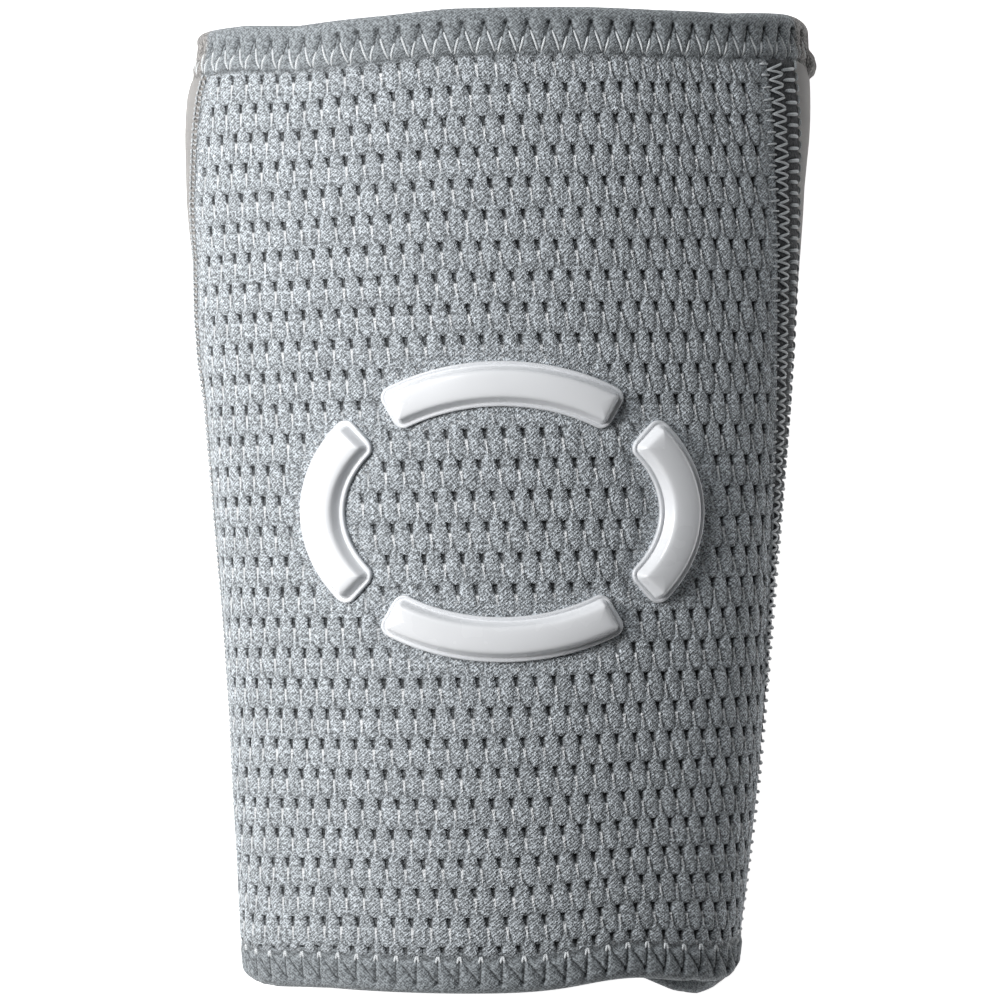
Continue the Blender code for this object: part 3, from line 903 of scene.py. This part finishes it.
def badge_material():
    graph = Graph("white_rubber")
    cloudy = graph.noise(graph.place(), 90.0, 3.0)
    colour = graph.colour(graph.value("film"), BADGE_COLOUR, FILM_COLOUR)
    colour = graph.scaled(colour, cloudy.ramp(0.3, 0.7, 0.95, 1.0))
    graph.relief(graph.noise(graph.place(), 2600.0, 2.0), 0.00002, 0.25)
    return graph.finish(colour, cloudy.ramp(0.3, 0.7, 0.24, 0.34), coat=0.35)


def floor_material():
    graph = Graph("floor_white")
    speck = graph.noise(graph.place(), 3.0, 2.0)
    graph.shader.inputs["Emission Color"].default_value = (1.0, 1.0, 1.0, 1.0)
    graph.shader.inputs["Emission Strength"].default_value = FLOOR_GLOW
    return graph.finish(graph.scaled(FLOOR_COLOUR, speck.ramp(0.3, 0.7, 0.985, 1.0)), 0.9)


# Front


def pattern_place(along, across):
    """Column and row of the eyelet pattern at a place."""
    return (
        (across + along * COLUMN_LEAN + corner_pull(along, across)) / COLUMN_PITCH + PATTERN_START[0],
        (along - across * ROW_TILT) / ROW_PITCH + PATTERN_START[1],
    )


def corner_pull(along, across):
    """How far the columns are drawn aside below the forearm hem's right half."""
    below = np.maximum(0.0, LENGTH - FOREARM_HEM_DEPTH - along)
    fade = np.exp(-below / CORNER_PULL_LENGTH)
    return CORNER_PULL * fade * smooth_step(*CORNER_PULL_ACROSS, across)


def pattern_inverse(column, row):
    """Place along and across of a column and row of the pattern."""
    column_place = (column - PATTERN_START[0]) * COLUMN_PITCH
    row_place = (row - PATTERN_START[1]) * ROW_PITCH
    along = row_place
    across = column_place - along * COLUMN_LEAN
    for _ in range(16):
        along = row_place + across * ROW_TILT
        across = column_place - along * COLUMN_LEAN - corner_pull(along, across)
    return along, across


def leaf(column, row, family):
    """Inside distance from a leaf's outline in columns, and the share of its half width from its middle."""
    down = np.mod((family - row) / 2.0, 1.0)
    aside = np.abs(np.mod(column + 0.5 + 0.5 * family, 1.0) - 0.5)
    half = np.interp(down, LEAF_DOWN, LEAF_HALF)
    return half - aside, aside / np.maximum(half, 0.001)


def leaf_relief(column, row):
    """Height of the leaves, grooves and eyelets over the skin."""
    heights = []
    edges = []
    for family in (0.0, 1.0):
        edge, share = leaf(column, row, family)
        pillow = np.sqrt(np.clip(1.0 - share ** 2, 0.0, 1.0))
        heights.append(np.where(edge > 0.0, LEAF_RISE * pillow, 0.0))
        edges.append(edge)
    hole = smooth_step(*HOLE_SIDES, -np.maximum(*edges))
    return np.maximum(*heights) - GROOVE_DEPTH - EYELET_DEPTH * hole


def badge_centre():
    return np.array((skin.by_row("shift", BADGE_FROM_WRIST) + BADGE_SIDEWAYS, BADGE_FROM_WRIST))


def badge_lines():
    """Middle lines of the four strokes on the flat: points, outward directions and lengths so far."""
    half_x = (BADGE_WIDTH - BADGE_STROKE) / 2.0
    half_y = (BADGE_LENGTH - BADGE_STROKE) / 2.0
    lines = []
    for middle in (0.0, 0.5 * math.pi, math.pi, 1.5 * math.pi):
        turn = np.linspace(middle - math.pi / 4.0, middle + math.pi / 4.0, 241)
        points = np.stack((half_x * np.cos(turn), half_y * np.sin(turn)), axis=-1)
        out = np.stack((np.cos(turn) / half_x, np.sin(turn) / half_y), axis=-1)
        out /= np.linalg.norm(out, axis=-1, keepdims=True)
        step = np.linalg.norm(np.diff(points, axis=0), axis=-1)
        length = np.concatenate(([0.0], np.cumsum(step)))
        lines.append((points, out, length))
    return lines


def badge_distance(x, y):
    """Distance outside the nearest stroke's outline."""
    centre = badge_centre()
    nearest = np.full(x.shape, 1.0)
    for points, _, length in badge_lines():
        reach = BADGE_BREAK / 2.0 + BADGE_STROKE / 2.0
        inner = (length > reach) & (length < length[-1] - reach)
        for point in points[inner][::4]:
            away = np.hypot(x - centre[0] - point[0], y - centre[1] - point[1])
            nearest = np.minimum(nearest, away)
    return nearest - BADGE_STROKE / 2.0


def seam_cover(along, side):
    return read_off(SEAM_COVER[side], along / MM)


def knit_edge(along, side):
    """Place across of the front knit's own edge, tucked under or laid over a seam."""
    sign = SIDES[side]
    return skin.seam_edges(along, side)[0] + sign * (seam_cover(along, side) + TUCK)


def front_grid():
    """Places along and across of the pattern's grid lines, and a mark of the edges that each lies past."""
    low_along = WRIST_HEM_DEPTH - TUCK
    high_along = LENGTH - FOREARM_HEM_DEPTH + TUCK
    corners = []
    for along in (low_along, high_along):
        for side in SIDES:
            corners.append(pattern_place(along, knit_edge(along, side)))
    corners = np.array(corners)
    first_column = math.floor(corners[:, 0].min()) - 2
    last_column = math.ceil(corners[:, 0].max()) + 2
    first_row = math.floor(corners[:, 1].min()) - 1
    last_row = math.ceil(corners[:, 1].max()) + 1
    columns = (np.arange(first_column, last_column)[:, None] + np.array(COLUMN_CUTS)).ravel()
    rows = (np.arange(first_row, last_row)[:, None] + 1.0 - np.array(ROW_CUTS)[::-1]).ravel()
    row, column = np.meshgrid(rows, columns, indexing="ij")
    free_along, free_across = pattern_inverse(column, row)
    along = np.clip(free_along, low_along, high_along)
    left = knit_edge(along, "left")
    right = knit_edge(along, "right")
    across = np.clip(free_across, left, right)
    outside = (free_along < low_along).astype(int) + 2 * (free_along > high_along).astype(int)
    outside += 4 * (free_across < left).astype(int) + 8 * (free_across > right).astype(int)
    return along, across, outside


def front_relief(along, across):
    """Height of the front over the skin, how flat it is pressed and the painted shade along its borders."""
    around = skin.around(along, across)
    flat_place = skin.point(along, around, 0.0) + ORIGIN
    from_badge = badge_distance(flat_place[..., 0], flat_place[..., 1])
    from_hem = np.minimum(along - WRIST_HEM_DEPTH, LENGTH - FOREARM_HEM_DEPTH - along)
    from_seam = np.minimum(across - knit_edge(along, "left"), knit_edge(along, "right") - across) - TUCK
    border = np.minimum(from_hem, from_seam)
    by_badge = 1.0 - smooth_step(*FLAT_BY_BADGE, from_badge)
    by_hem = 1.0 - smooth_step(*FLAT_BY_HEM, from_hem)
    by_seam = 1.0 - smooth_step(*FLAT_BY_SEAM, from_seam)
    flatten = np.maximum(np.maximum(by_badge, by_hem), by_seam)
    relief = leaf_relief(*pattern_place(along, across))
    tuck = TUCK_DEPTH * (1.0 - smooth_step(-TUCK, FRONT_TUCK_FADE, border))
    dent = BADGE_DENT * bump(np.maximum(from_badge, 0.0), 0.0, DENT_SPREAD)
    height = relief * (1.0 - FLAT_SHARE * flatten) - tuck - dent
    phase = skin.ring_turn(along, around) * stitch_count(HEMS["wrist"])
    stitch_place, stitch_spread, rise, rise_spread = PAINTED_SHADE_NOTCH
    notch_shade = bump(np.mod(phase - stitch_place, 1.0) - 0.5, 0.0, stitch_spread)
    notch_shade = notch_shade * bump(along - WRIST_HEM_DEPTH, rise, rise_spread)
    # The last value is painted shade along the hems and seams and in notches over the wrist hem's stitches
    return height, flatten, np.maximum(bump(border, 0.0, BORDER_SPREAD), notch_shade)


def make_front_knit(material):
    along, across, outside = front_grid()
    height, flatten, border = front_relief(along, across)
    points = skin.point(along, skin.around(along, across), height)

    def keep(cells):
        sides = outside[cells[..., 0], cells[..., 1]]
        return np.bitwise_and.reduce(sides, axis=1) == 0

    grid_row, grid_column = np.meshgrid(*(np.linspace(0.0, 1.0, size) for size in along.shape), indexing="ij")
    maps = {
        "cloth": np.stack((across / MM, along / MM), axis=-1),
        "pattern": np.stack(pattern_place(along, across), axis=-1),
        "OFBake": np.stack((grid_column, grid_row), axis=-1),
    }
    # The second value is the painted shade along the borders
    values = {"flatten": flatten, "border": border}
    piece = grid_piece("front_knit", points, material, maps, values, open_sheet=True, keep=keep)
    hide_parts("front_panel")


def make_wall(name, along, turn, outer, inner, material):
    """A closed wall between two heights over the skin; along and turn are grids with equal shape."""
    rows, columns = along.shape
    around = skin.ring(along, np.mod(turn, 1.0))
    faces_out = skin.point(along, around, outer)
    faces_in = skin.point(along, around, inner)[:, ::-1]
    points = np.concatenate((faces_out, faces_in), axis=1)
    count = 2 * columns
    cells = grid_cells(rows, count, wrap_columns=True)
    faces = cells[..., 0] * count + cells[..., 1] % count
    start = np.arange(columns - 1)
    cap = np.stack((start, start + 1, count - 2 - start, count - 1 - start), axis=-1)
    faces = np.vstack((faces, cap[:, ::-1], cap + (rows - 1) * count))
    across = turn * skin.whole_girth(along)
    cloth = np.stack((np.concatenate((across, across[:, ::-1]), axis=1), np.tile(along, 2)), axis=-1) / MM
    place, length = np.meshgrid(np.arange(count) / count, np.linspace(0.0, 1.0, rows))
    maps = {
        "cloth": cloth.reshape(-1, 2)[faces],
        "OFBake": np.stack((place, length), axis=-1).reshape(-1, 2)[faces],
    }
    piece = add_piece(name, points.reshape(-1, 3), faces, material, maps, {})
    return piece


def wall_grid(rows, columns, first_edge, last_edge):
    """Along and turn of a panel's grid between two edges, each a place around by distance along."""
    low_along = WRIST_HEM_DEPTH - TUCK
    high_along = LENGTH - FOREARM_HEM_DEPTH + TUCK
    along = np.linspace(low_along, high_along, rows + 1)
    first = skin.ring_turn(along, first_edge(along))
    last = skin.ring_turn(along, last_edge(along))
    last = np.where(last < first, last + 1.0, last)
    share = np.linspace(0.0, 1.0, columns + 1)
    turn = first[:, None] + (last - first)[:, None] * share
    return np.repeat(along[:, None], columns + 1, axis=1), turn, share


def end_tuck(along):
    """How deep a wall dips under the hems at its ends."""
    from_end = np.minimum(along - WRIST_HEM_DEPTH, LENGTH - FOREARM_HEM_DEPTH - along)
    return TUCK_DEPTH * (1.0 - smooth_step(-TUCK, TUCK_FADE, from_end))


def edge_around(side, beyond):
    """Function that gives the place around at a length beyond a seam's inner edge, towards the back."""
    sign = SIDES[side]

    def place(along):
        across = skin.seam_edges(along, side)[0] + sign * beyond
        return skin.around(along, across)

    return place


def make_back_knit(material):
    along, turn, share = wall_grid(
        *BACK_GRID, edge_around("right", BAND_EDGES["right"][1] - TUCK),
        edge_around("left", BAND_EDGES["left"][1] - TUCK))
    side = np.minimum(share, 1.0 - share)
    short, long = BACK_WAVE_LENGTHS
    wave = BACK_WAVE * np.sin(along / short + 2.0 * np.sin(along / long)) * smooth_step(0.02, 0.12, side)
    outer = wave * (1.0 - smooth_step(0.16, 0.24, side)) - end_tuck(along)
    piece = make_wall("back_knit", along, turn, outer, outer * 0.5 - BACK_WALL, material)
    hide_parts("back_panel")


def make_front_lining(material):
    along, turn, _ = wall_grid(*LINING_GRID, edge_around("left", TUCK), edge_around("right", TUCK))
    outer = np.full_like(along, LINING_DEPTH - PAD_WALL)
    inner = LINING_RIB * np.sin(turn * 2.0 * math.pi * LINING_RIBS) - PAD_WALL
    piece = make_wall("front_lining", along, turn, outer, inner, material)


# Hems


def stitch_count(hem):
    along = hem["depth"] / 2.0 if hem is HEMS["wrist"] else LENGTH - hem["depth"] / 2.0
    return int(round(float(skin.whole_girth(along)) / hem["pitch"]))


def hem_relief(hem, phase, from_end):
    """Height of a hem's face and its painted shade, at a share of a stitch and a distance from the end."""
    x = phase * hem["pitch"] / MM
    s = from_end / MM
    pitch = hem["pitch"] / MM
    nearest = np.full(x.shape, 9.0)
    for (first_x, first_s), (last_x, last_s) in hem["creases"]:
        for turn in (-1.0, 0.0, 1.0):
            start = np.array(((first_x + turn) * pitch, first_s))
            run = np.array(((last_x + turn) * pitch, last_s)) - start
            share = np.clip(((x - start[0]) * run[0] + (s - start[1]) * run[1]) / run.dot(run), 0.0, 1.0)
            away = np.hypot(x - start[0] - share * run[0], s - start[1] - share * run[1])
            nearest = np.minimum(nearest, away)
    needle_x, needle_s = hem["needle"]
    aside = (np.mod(phase - needle_x + 0.5, 1.0) - 0.5) * pitch
    needle = bump(np.hypot(aside, s - needle_s), 0.0, NEEDLE_SPREAD)
    edge = bump(s, hem["depth"] / MM + EDGE_BEYOND, EDGE_SPREAD)
    groove = bump(nearest, 0.0, GROOVE_SPREAD)
    pillow = 1.0 - bump(nearest, 0.0, PILLOW_SPREAD)
    height = HEM_PILLOW * pillow - HEM_GROOVE * groove - NEEDLE_DENT * needle
    # Painted shade in the grooves, at the needles' holes and along the edge
    groove_shade, needle_shade, edge_shade = HEM_SHADE
    painted_shade = np.clip(groove_shade * groove + needle_shade * needle + edge_shade * edge, 0.0, 1.0)
    return height, painted_shade


def hem_face_height(hem, from_end):
    edge = smooth_step(hem["depth"] + HEM_EDGE[0], hem["depth"] + HEM_EDGE[1], from_end)
    return HEM_PROUD - (HEM_PROUD + HEM_TURN_IN) * edge


def past_right_side(along, around):
    """Length around from the widest line of the right side, towards the back."""
    widest = np.abs(skin.table["x"][1][SKIN_ROWS - 12]).argmax() / SKIN_COLUMNS
    return (around - widest) * skin.side_girth(along, True)


def hem_section(hem):
    """A hem from its face round the fold to its inside: distance from the end, height and share of face."""
    depth = hem["depth"]
    radius = HEM_WALL / 2.0
    middle = radius - HEM_PROUD
    face = np.linspace(depth + FACE_BEYOND, radius, FACE_ROWS)
    roll = np.linspace(0.0, math.pi, 13)[1:-1]
    inner = np.linspace(radius, depth, 9)
    from_end = np.concatenate((face, radius - radius * np.sin(roll), inner))
    height = np.concatenate((
        hem_face_height(hem, face),
        radius * np.cos(roll) - middle,
        np.full(len(inner), HEM_PROUD - HEM_WALL),
    ))
    weight = np.concatenate((np.ones(len(face)), np.clip(np.cos(roll), 0.0, 1.0), np.zeros(len(inner))))
    return from_end, height, weight


def make_hem(end, material):
    hem = HEMS[end]
    depth = hem["depth"]
    stitches = stitch_count(hem)
    columns = stitches * STITCH_COLUMNS
    from_end, height, weight = hem_section(hem)
    turn = np.arange(columns) / columns
    phase = np.mod(turn * stitches, 1.0)
    from_end, turn = np.meshgrid(from_end, turn, indexing="ij")
    phase = np.broadcast_to(phase, turn.shape)
    relief, painted_shade = hem_relief(hem, phase, from_end)
    scallop = SCALLOP * np.cos(2.0 * math.pi * (phase - hem["scallop"]))
    reach = from_end + scallop * smooth_step(depth - SCALLOP_REACH, depth, from_end)
    lump = 0.0
    if end == "forearm":
        away = past_right_side(LENGTH - depth, skin.ring(LENGTH - depth, turn))
        wide = plateau(away, *HEM_REACH_AROUND)
        reach = reach + HEM_REACH_RIGHT * wide * smooth_step(0.0020, depth, from_end)
        lump = LUMP_RISE * bump(away, 0.0, LUMP_SPREAD) * plateau(reach, *LUMP_BAND)
    along = reach if end == "wrist" else LENGTH - reach
    around = skin.ring(along, turn)
    outer = height[:, None] + weight[:, None] * (relief + lump)
    points = skin.point(along, around, outer)
    left_edge = skin.around(along, skin.seam_edges(along, "left")[1])
    right_edge = skin.around(along, skin.seam_edges(along, "right")[1])
    past = np.maximum(around - right_edge, left_edge - around) * skin.side_girth(along, around > 0.0)
    back = smooth_step(-BACK_FADE, BACK_FADE, past) * (weight[:, None] > 0.3)
    line = np.concatenate(([0.0], np.cumsum(np.hypot(np.diff(from_end[:, 0]), np.diff(height)))))
    line = np.concatenate((line, [line[-1] + depth / 3.0]))
    girth = float(skin.whole_girth(along[FACE_ROWS // 2, 0]))
    full_turn, full_line = np.meshgrid(np.arange(columns + 1) / columns, line)
    full_end = np.concatenate((from_end[:, 0], from_end[:1, 0]))[:, None] / MM
    maps = {
        "cloth": np.stack((full_turn * girth, full_line), axis=-1) / MM,
        "stitch": np.stack((full_turn * stitches, np.broadcast_to(full_end, full_turn.shape)), axis=-1),
        "OFBake": np.stack((full_turn, full_line / line[-1]), axis=-1),
    }
    face = np.broadcast_to(weight[:, None], turn.shape)
    # The face's painted shade goes to its material
    values = {"back": back, "crease_painted_shade": painted_shade * face, "face": face}
    piece = grid_piece(end + "_hem_band", points, material, maps, values, wrap=(True, True))
    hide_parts(end + "_hem")


def make_hem_thread(end, material):
    """The parts of the zigzag's thread that show; each dips into the knit at both ends."""
    hem = HEMS[end]
    stitches = stitch_count(hem)
    share = np.linspace(0.0, 1.0, len(THREAD_TAPER))
    paths = []
    outward = []
    for (first_x, first_s), (last_x, last_s) in hem["threads"]:
        phase = first_x + (last_x - first_x) * share
        from_end = np.broadcast_to((first_s + (last_s - first_s) * share) * MM, (stitches, len(share)))
        turn = np.mod((np.arange(stitches)[:, None] + phase[None]) / stitches, 1.0)
        along = from_end if end == "wrist" else LENGTH - from_end
        around = skin.ring(along, turn)
        relief, _ = hem_relief(hem, np.mod(np.broadcast_to(phase, turn.shape), 1.0), from_end)
        lift = THREAD_RISE * np.sin(math.pi * share) ** 0.6 - THREAD_SINK
        paths.append(skin.point(along, around, hem_face_height(hem, from_end) + relief + lift))
        outward.append(skin.outward(along, around))
    paths = np.concatenate(paths)
    radii = np.full(paths.shape[:2], THREAD_RADIUS) * np.array(THREAD_TAPER)
    piece = thread_piece(end + "_hem_thread", paths, np.concatenate(outward), radii, material)


# Side seams


def make_seam(side, material):
    inner, outer = BAND_EDGES[side]
    edges = [edge_around(side, inner - SEAM_OVERLAP), edge_around(side, outer + SEAM_OVERLAP)]
    along, turn, share = wall_grid(*BAND_GRID, *(edges if side == "right" else edges[::-1]))
    crown = 1.0 - (2.0 * share - 1.0) ** 4
    rung = np.cos(2.0 * math.pi * along / SEAM_PITCH[side])
    offset = np.abs(skin.across(along, skin.ring(along, np.mod(turn, 1.0))) - skin.seam_edges(along, side)[0])
    covered = smooth_step(*COVER_FADE, seam_cover(along, side) - offset)
    outer = (BAND_RISE + BAND_RUNG * rung) * crown - BAND_SINK - end_tuck(along) - UNDER_KNIT * covered
    base = np.full_like(along, BAND_BASE)
    piece = make_wall(side + "_seam_band", along, turn, outer, base, material)
    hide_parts(side + "_seam")


def seam_paths(side, first, last, rise):
    """Threads over a seam. First and last hold each thread's ends as (along, offset from the inner edge)."""
    sign = SIDES[side]
    share = np.linspace(0.0, 1.0, len(RUNG_TAPER))
    along = first[:, :1] + (last[:, :1] - first[:, :1]) * share
    offset = first[:, 1:] + (last[:, 1:] - first[:, 1:]) * share
    across = skin.seam_edges(along, side)[0] + sign * offset
    around = skin.around(along, across)
    height = rise * np.sin(math.pi * share) ** 0.5 - 0.0001
    return skin.point(along, around, np.broadcast_to(height, along.shape)), skin.outward(along, around)


def make_seam_threads(side, material):
    start = WRIST_HEM_DEPTH + SEAM_END_GAP
    end = LENGTH - FOREARM_HEM_DEPTH - SEAM_END_GAP
    pitch = SEAM_PITCH[side]
    paths = []
    outward = []
    radii = []
    for begin, slant, (inner, outer), rise, radius in SEAM_PLAN[side]:
        places = np.arange(start, end, pitch) + begin * pitch
        places = places[inner > seam_cover(places, side) - COVER_REACH]
        wobble = sum(size * np.sin(places * rate) for size, rate in SEAM_WOBBLE)
        first = np.stack((places + wobble, np.full_like(places, inner) + 0.6 * wobble), axis=-1)
        last = np.stack((places + slant * pitch, np.full_like(places, outer) - wobble), axis=-1)
        path, out = seam_paths(side, first, last, rise)
        paths.append(path)
        outward.append(out)
        radii.append(np.full(path.shape[:2], radius) * np.array(RUNG_TAPER))
    lists = (np.concatenate(parts) for parts in (paths, outward, radii))
    piece = thread_piece(side + "_seam_thread", *lists, material)


# Badge


def stroke_loop(length, inset):
    """Outline of a stroke at an inset: distances along it and across it, once round from its start."""
    half = BADGE_STROKE / 2.0 - inset
    corner = max(BADGE_CORNER - inset, 0.12 * half)
    low = inset
    high = length - inset
    turn = np.linspace(0.0, math.pi / 2.0, 9)[1:]
    first_s = np.concatenate((np.full(5, low), low + corner * (1.0 - np.cos(turn))))
    first_q = np.concatenate((np.linspace(0.0, half - corner, 5), half - corner * (1.0 - np.sin(turn))))
    straight = np.linspace(low + corner, high - corner, 70)[1:-1]
    s = np.concatenate((first_s, straight, low + high - first_s[::-1]))
    q = np.concatenate((first_q, np.full(len(straight), half), first_q[::-1]))
    return np.concatenate((s, s[-2:0:-1])), np.concatenate((q, -q[-2:0:-1]))


def loop_lid(count):
    """Four-cornered faces that fill a loop, from one end to the other."""
    middle = count // 2
    step = np.arange(2, middle)
    strip = np.stack((step, step + 1, count - step, count - step + 1), axis=-1)
    return np.vstack((((0, 1, 2, count - 1),), strip))


def make_badge(name, line, material):
    points, out, total = line
    centre = badge_centre()
    length = total[-1] - BADGE_BREAK
    rings = []
    for inset, height in BADGE_PROFILE:
        s, q = stroke_loop(length, inset * MM)
        place = s + BADGE_BREAK / 2.0
        x = centre[0] + np.interp(place, total, points[:, 0]) + q * np.interp(place, total, out[:, 0])
        y = centre[1] + np.interp(place, total, points[:, 1]) + q * np.interp(place, total, out[:, 1])
        rings.append(skin.over(x, y, np.full_like(x, height * MM)))
    rings = np.array(rings)
    rows, count = rings.shape[:2]
    cells = grid_cells(rows, count, wrap_columns=True)
    faces = cells[..., 0] * count + cells[..., 1] % count
    lid = loop_lid(count)
    faces = np.vstack((faces, lid[:, ::-1], lid + (rows - 1) * count))
    film = np.repeat([1.0 if inset < BADGE_FILM else 0.0 for inset, _ in BADGE_PROFILE], count)
    piece = add_piece("badge_stroke_" + name, rings.reshape(-1, 3), faces, material, {}, {"film": film})
    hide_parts("badge_arc_" + name)


# Floor, light and camera


def make_floor(material):
    side = np.linspace(-FLOOR_REACH, FLOOR_REACH, 9)
    count = len(side)
    x, y = np.meshgrid(side, side)
    points = np.stack((x, y, np.full_like(x, -FLOOR_DROP)), axis=-1).reshape(-1, 3)
    mesh = bpy.data.meshes.new("floor")
    cells = grid_cells(count, count)
    mesh.from_pydata(points.tolist(), [], (cells[..., 0] * count + cells[..., 1]).tolist())
    mesh.materials.append(material)
    floor = bpy.data.objects.new("floor", mesh)
    bpy.context.scene.collection.objects.link(floor)


def make_light(name, place, size, power, colour):
    lamp = bpy.data.lights.new(name, "AREA")
    lamp.shape = "DISK"
    lamp.size = size
    lamp.energy = power
    lamp.color = colour
    item = bpy.data.objects.new(name, lamp)
    item.location = place
    item.rotation_euler = Vector(place).to_track_quat("Z", "Y").to_euler()
    bpy.context.scene.collection.objects.link(item)


def make_world():
    world = bpy.data.worlds.new("studio")
    world.use_nodes = True
    background = world.node_tree.nodes["Background"]
    background.inputs["Color"].default_value = (1.0, 1.0, 1.0, 1.0)
    background.inputs["Strength"].default_value = SKY_STRENGTH
    bpy.context.scene.world = world


def make_camera():
    lens = bpy.data.cameras.new("camera")
    lens.lens = CAMERA_LENS
    lens.sensor_width = 36.0
    lens.clip_start = 0.01
    lens.clip_end = 20.0
    camera = bpy.data.objects.new("camera", lens)
    camera.location = CAMERA_PLACE
    bpy.context.scene.collection.objects.link(camera)
    bpy.context.scene.camera = camera


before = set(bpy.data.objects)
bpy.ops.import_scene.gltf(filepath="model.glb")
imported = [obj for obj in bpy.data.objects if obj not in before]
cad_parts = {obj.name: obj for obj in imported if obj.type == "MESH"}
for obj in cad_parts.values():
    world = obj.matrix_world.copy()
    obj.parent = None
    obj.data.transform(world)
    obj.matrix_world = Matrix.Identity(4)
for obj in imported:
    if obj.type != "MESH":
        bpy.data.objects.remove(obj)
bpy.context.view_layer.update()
skin = Skin()
make_front_knit(eyelet_material())
stretch_knit = plain_knit_material("stretch_knit_back", WARM_COLOUR)
make_back_knit(stretch_knit)
make_front_lining(plain_knit_material("stretch_knit_lining", LINING_COLOUR))
thread = thread_material("seam_thread_spun", THREAD_COLOUR)
for end, hem in HEMS.items():
    make_hem(end, hem_material(end + "_hem_knit", HEM_FRONT_COLOUR, hem))
    make_hem_thread(end, thread)
rung_thread = thread_material("rung_thread_spun", RUNG_COLOUR)
for side, colour in (("left", LEFT_BAND_COLOUR), ("right", SEAM_COLOUR)):
    make_seam(side, hem_material(side + "_band_knit", colour))
    make_seam_threads(side, rung_thread)
rubber = badge_material()
for name, line in zip(BADGE_NAMES, badge_lines()):
    make_badge(name, line, rubber)
make_floor(floor_material())
make_world()
make_light("key", KEY_PLACE, KEY_SIZE, KEY_POWER, KEY_COLOUR)
make_light("fill", FILL_PLACE, FILL_SIZE, FILL_POWER, FILL_COLOUR)
make_camera()
bpy.context.scene.view_settings.view_transform = "Standard"
bpy.context.scene.view_settings.look = "None"
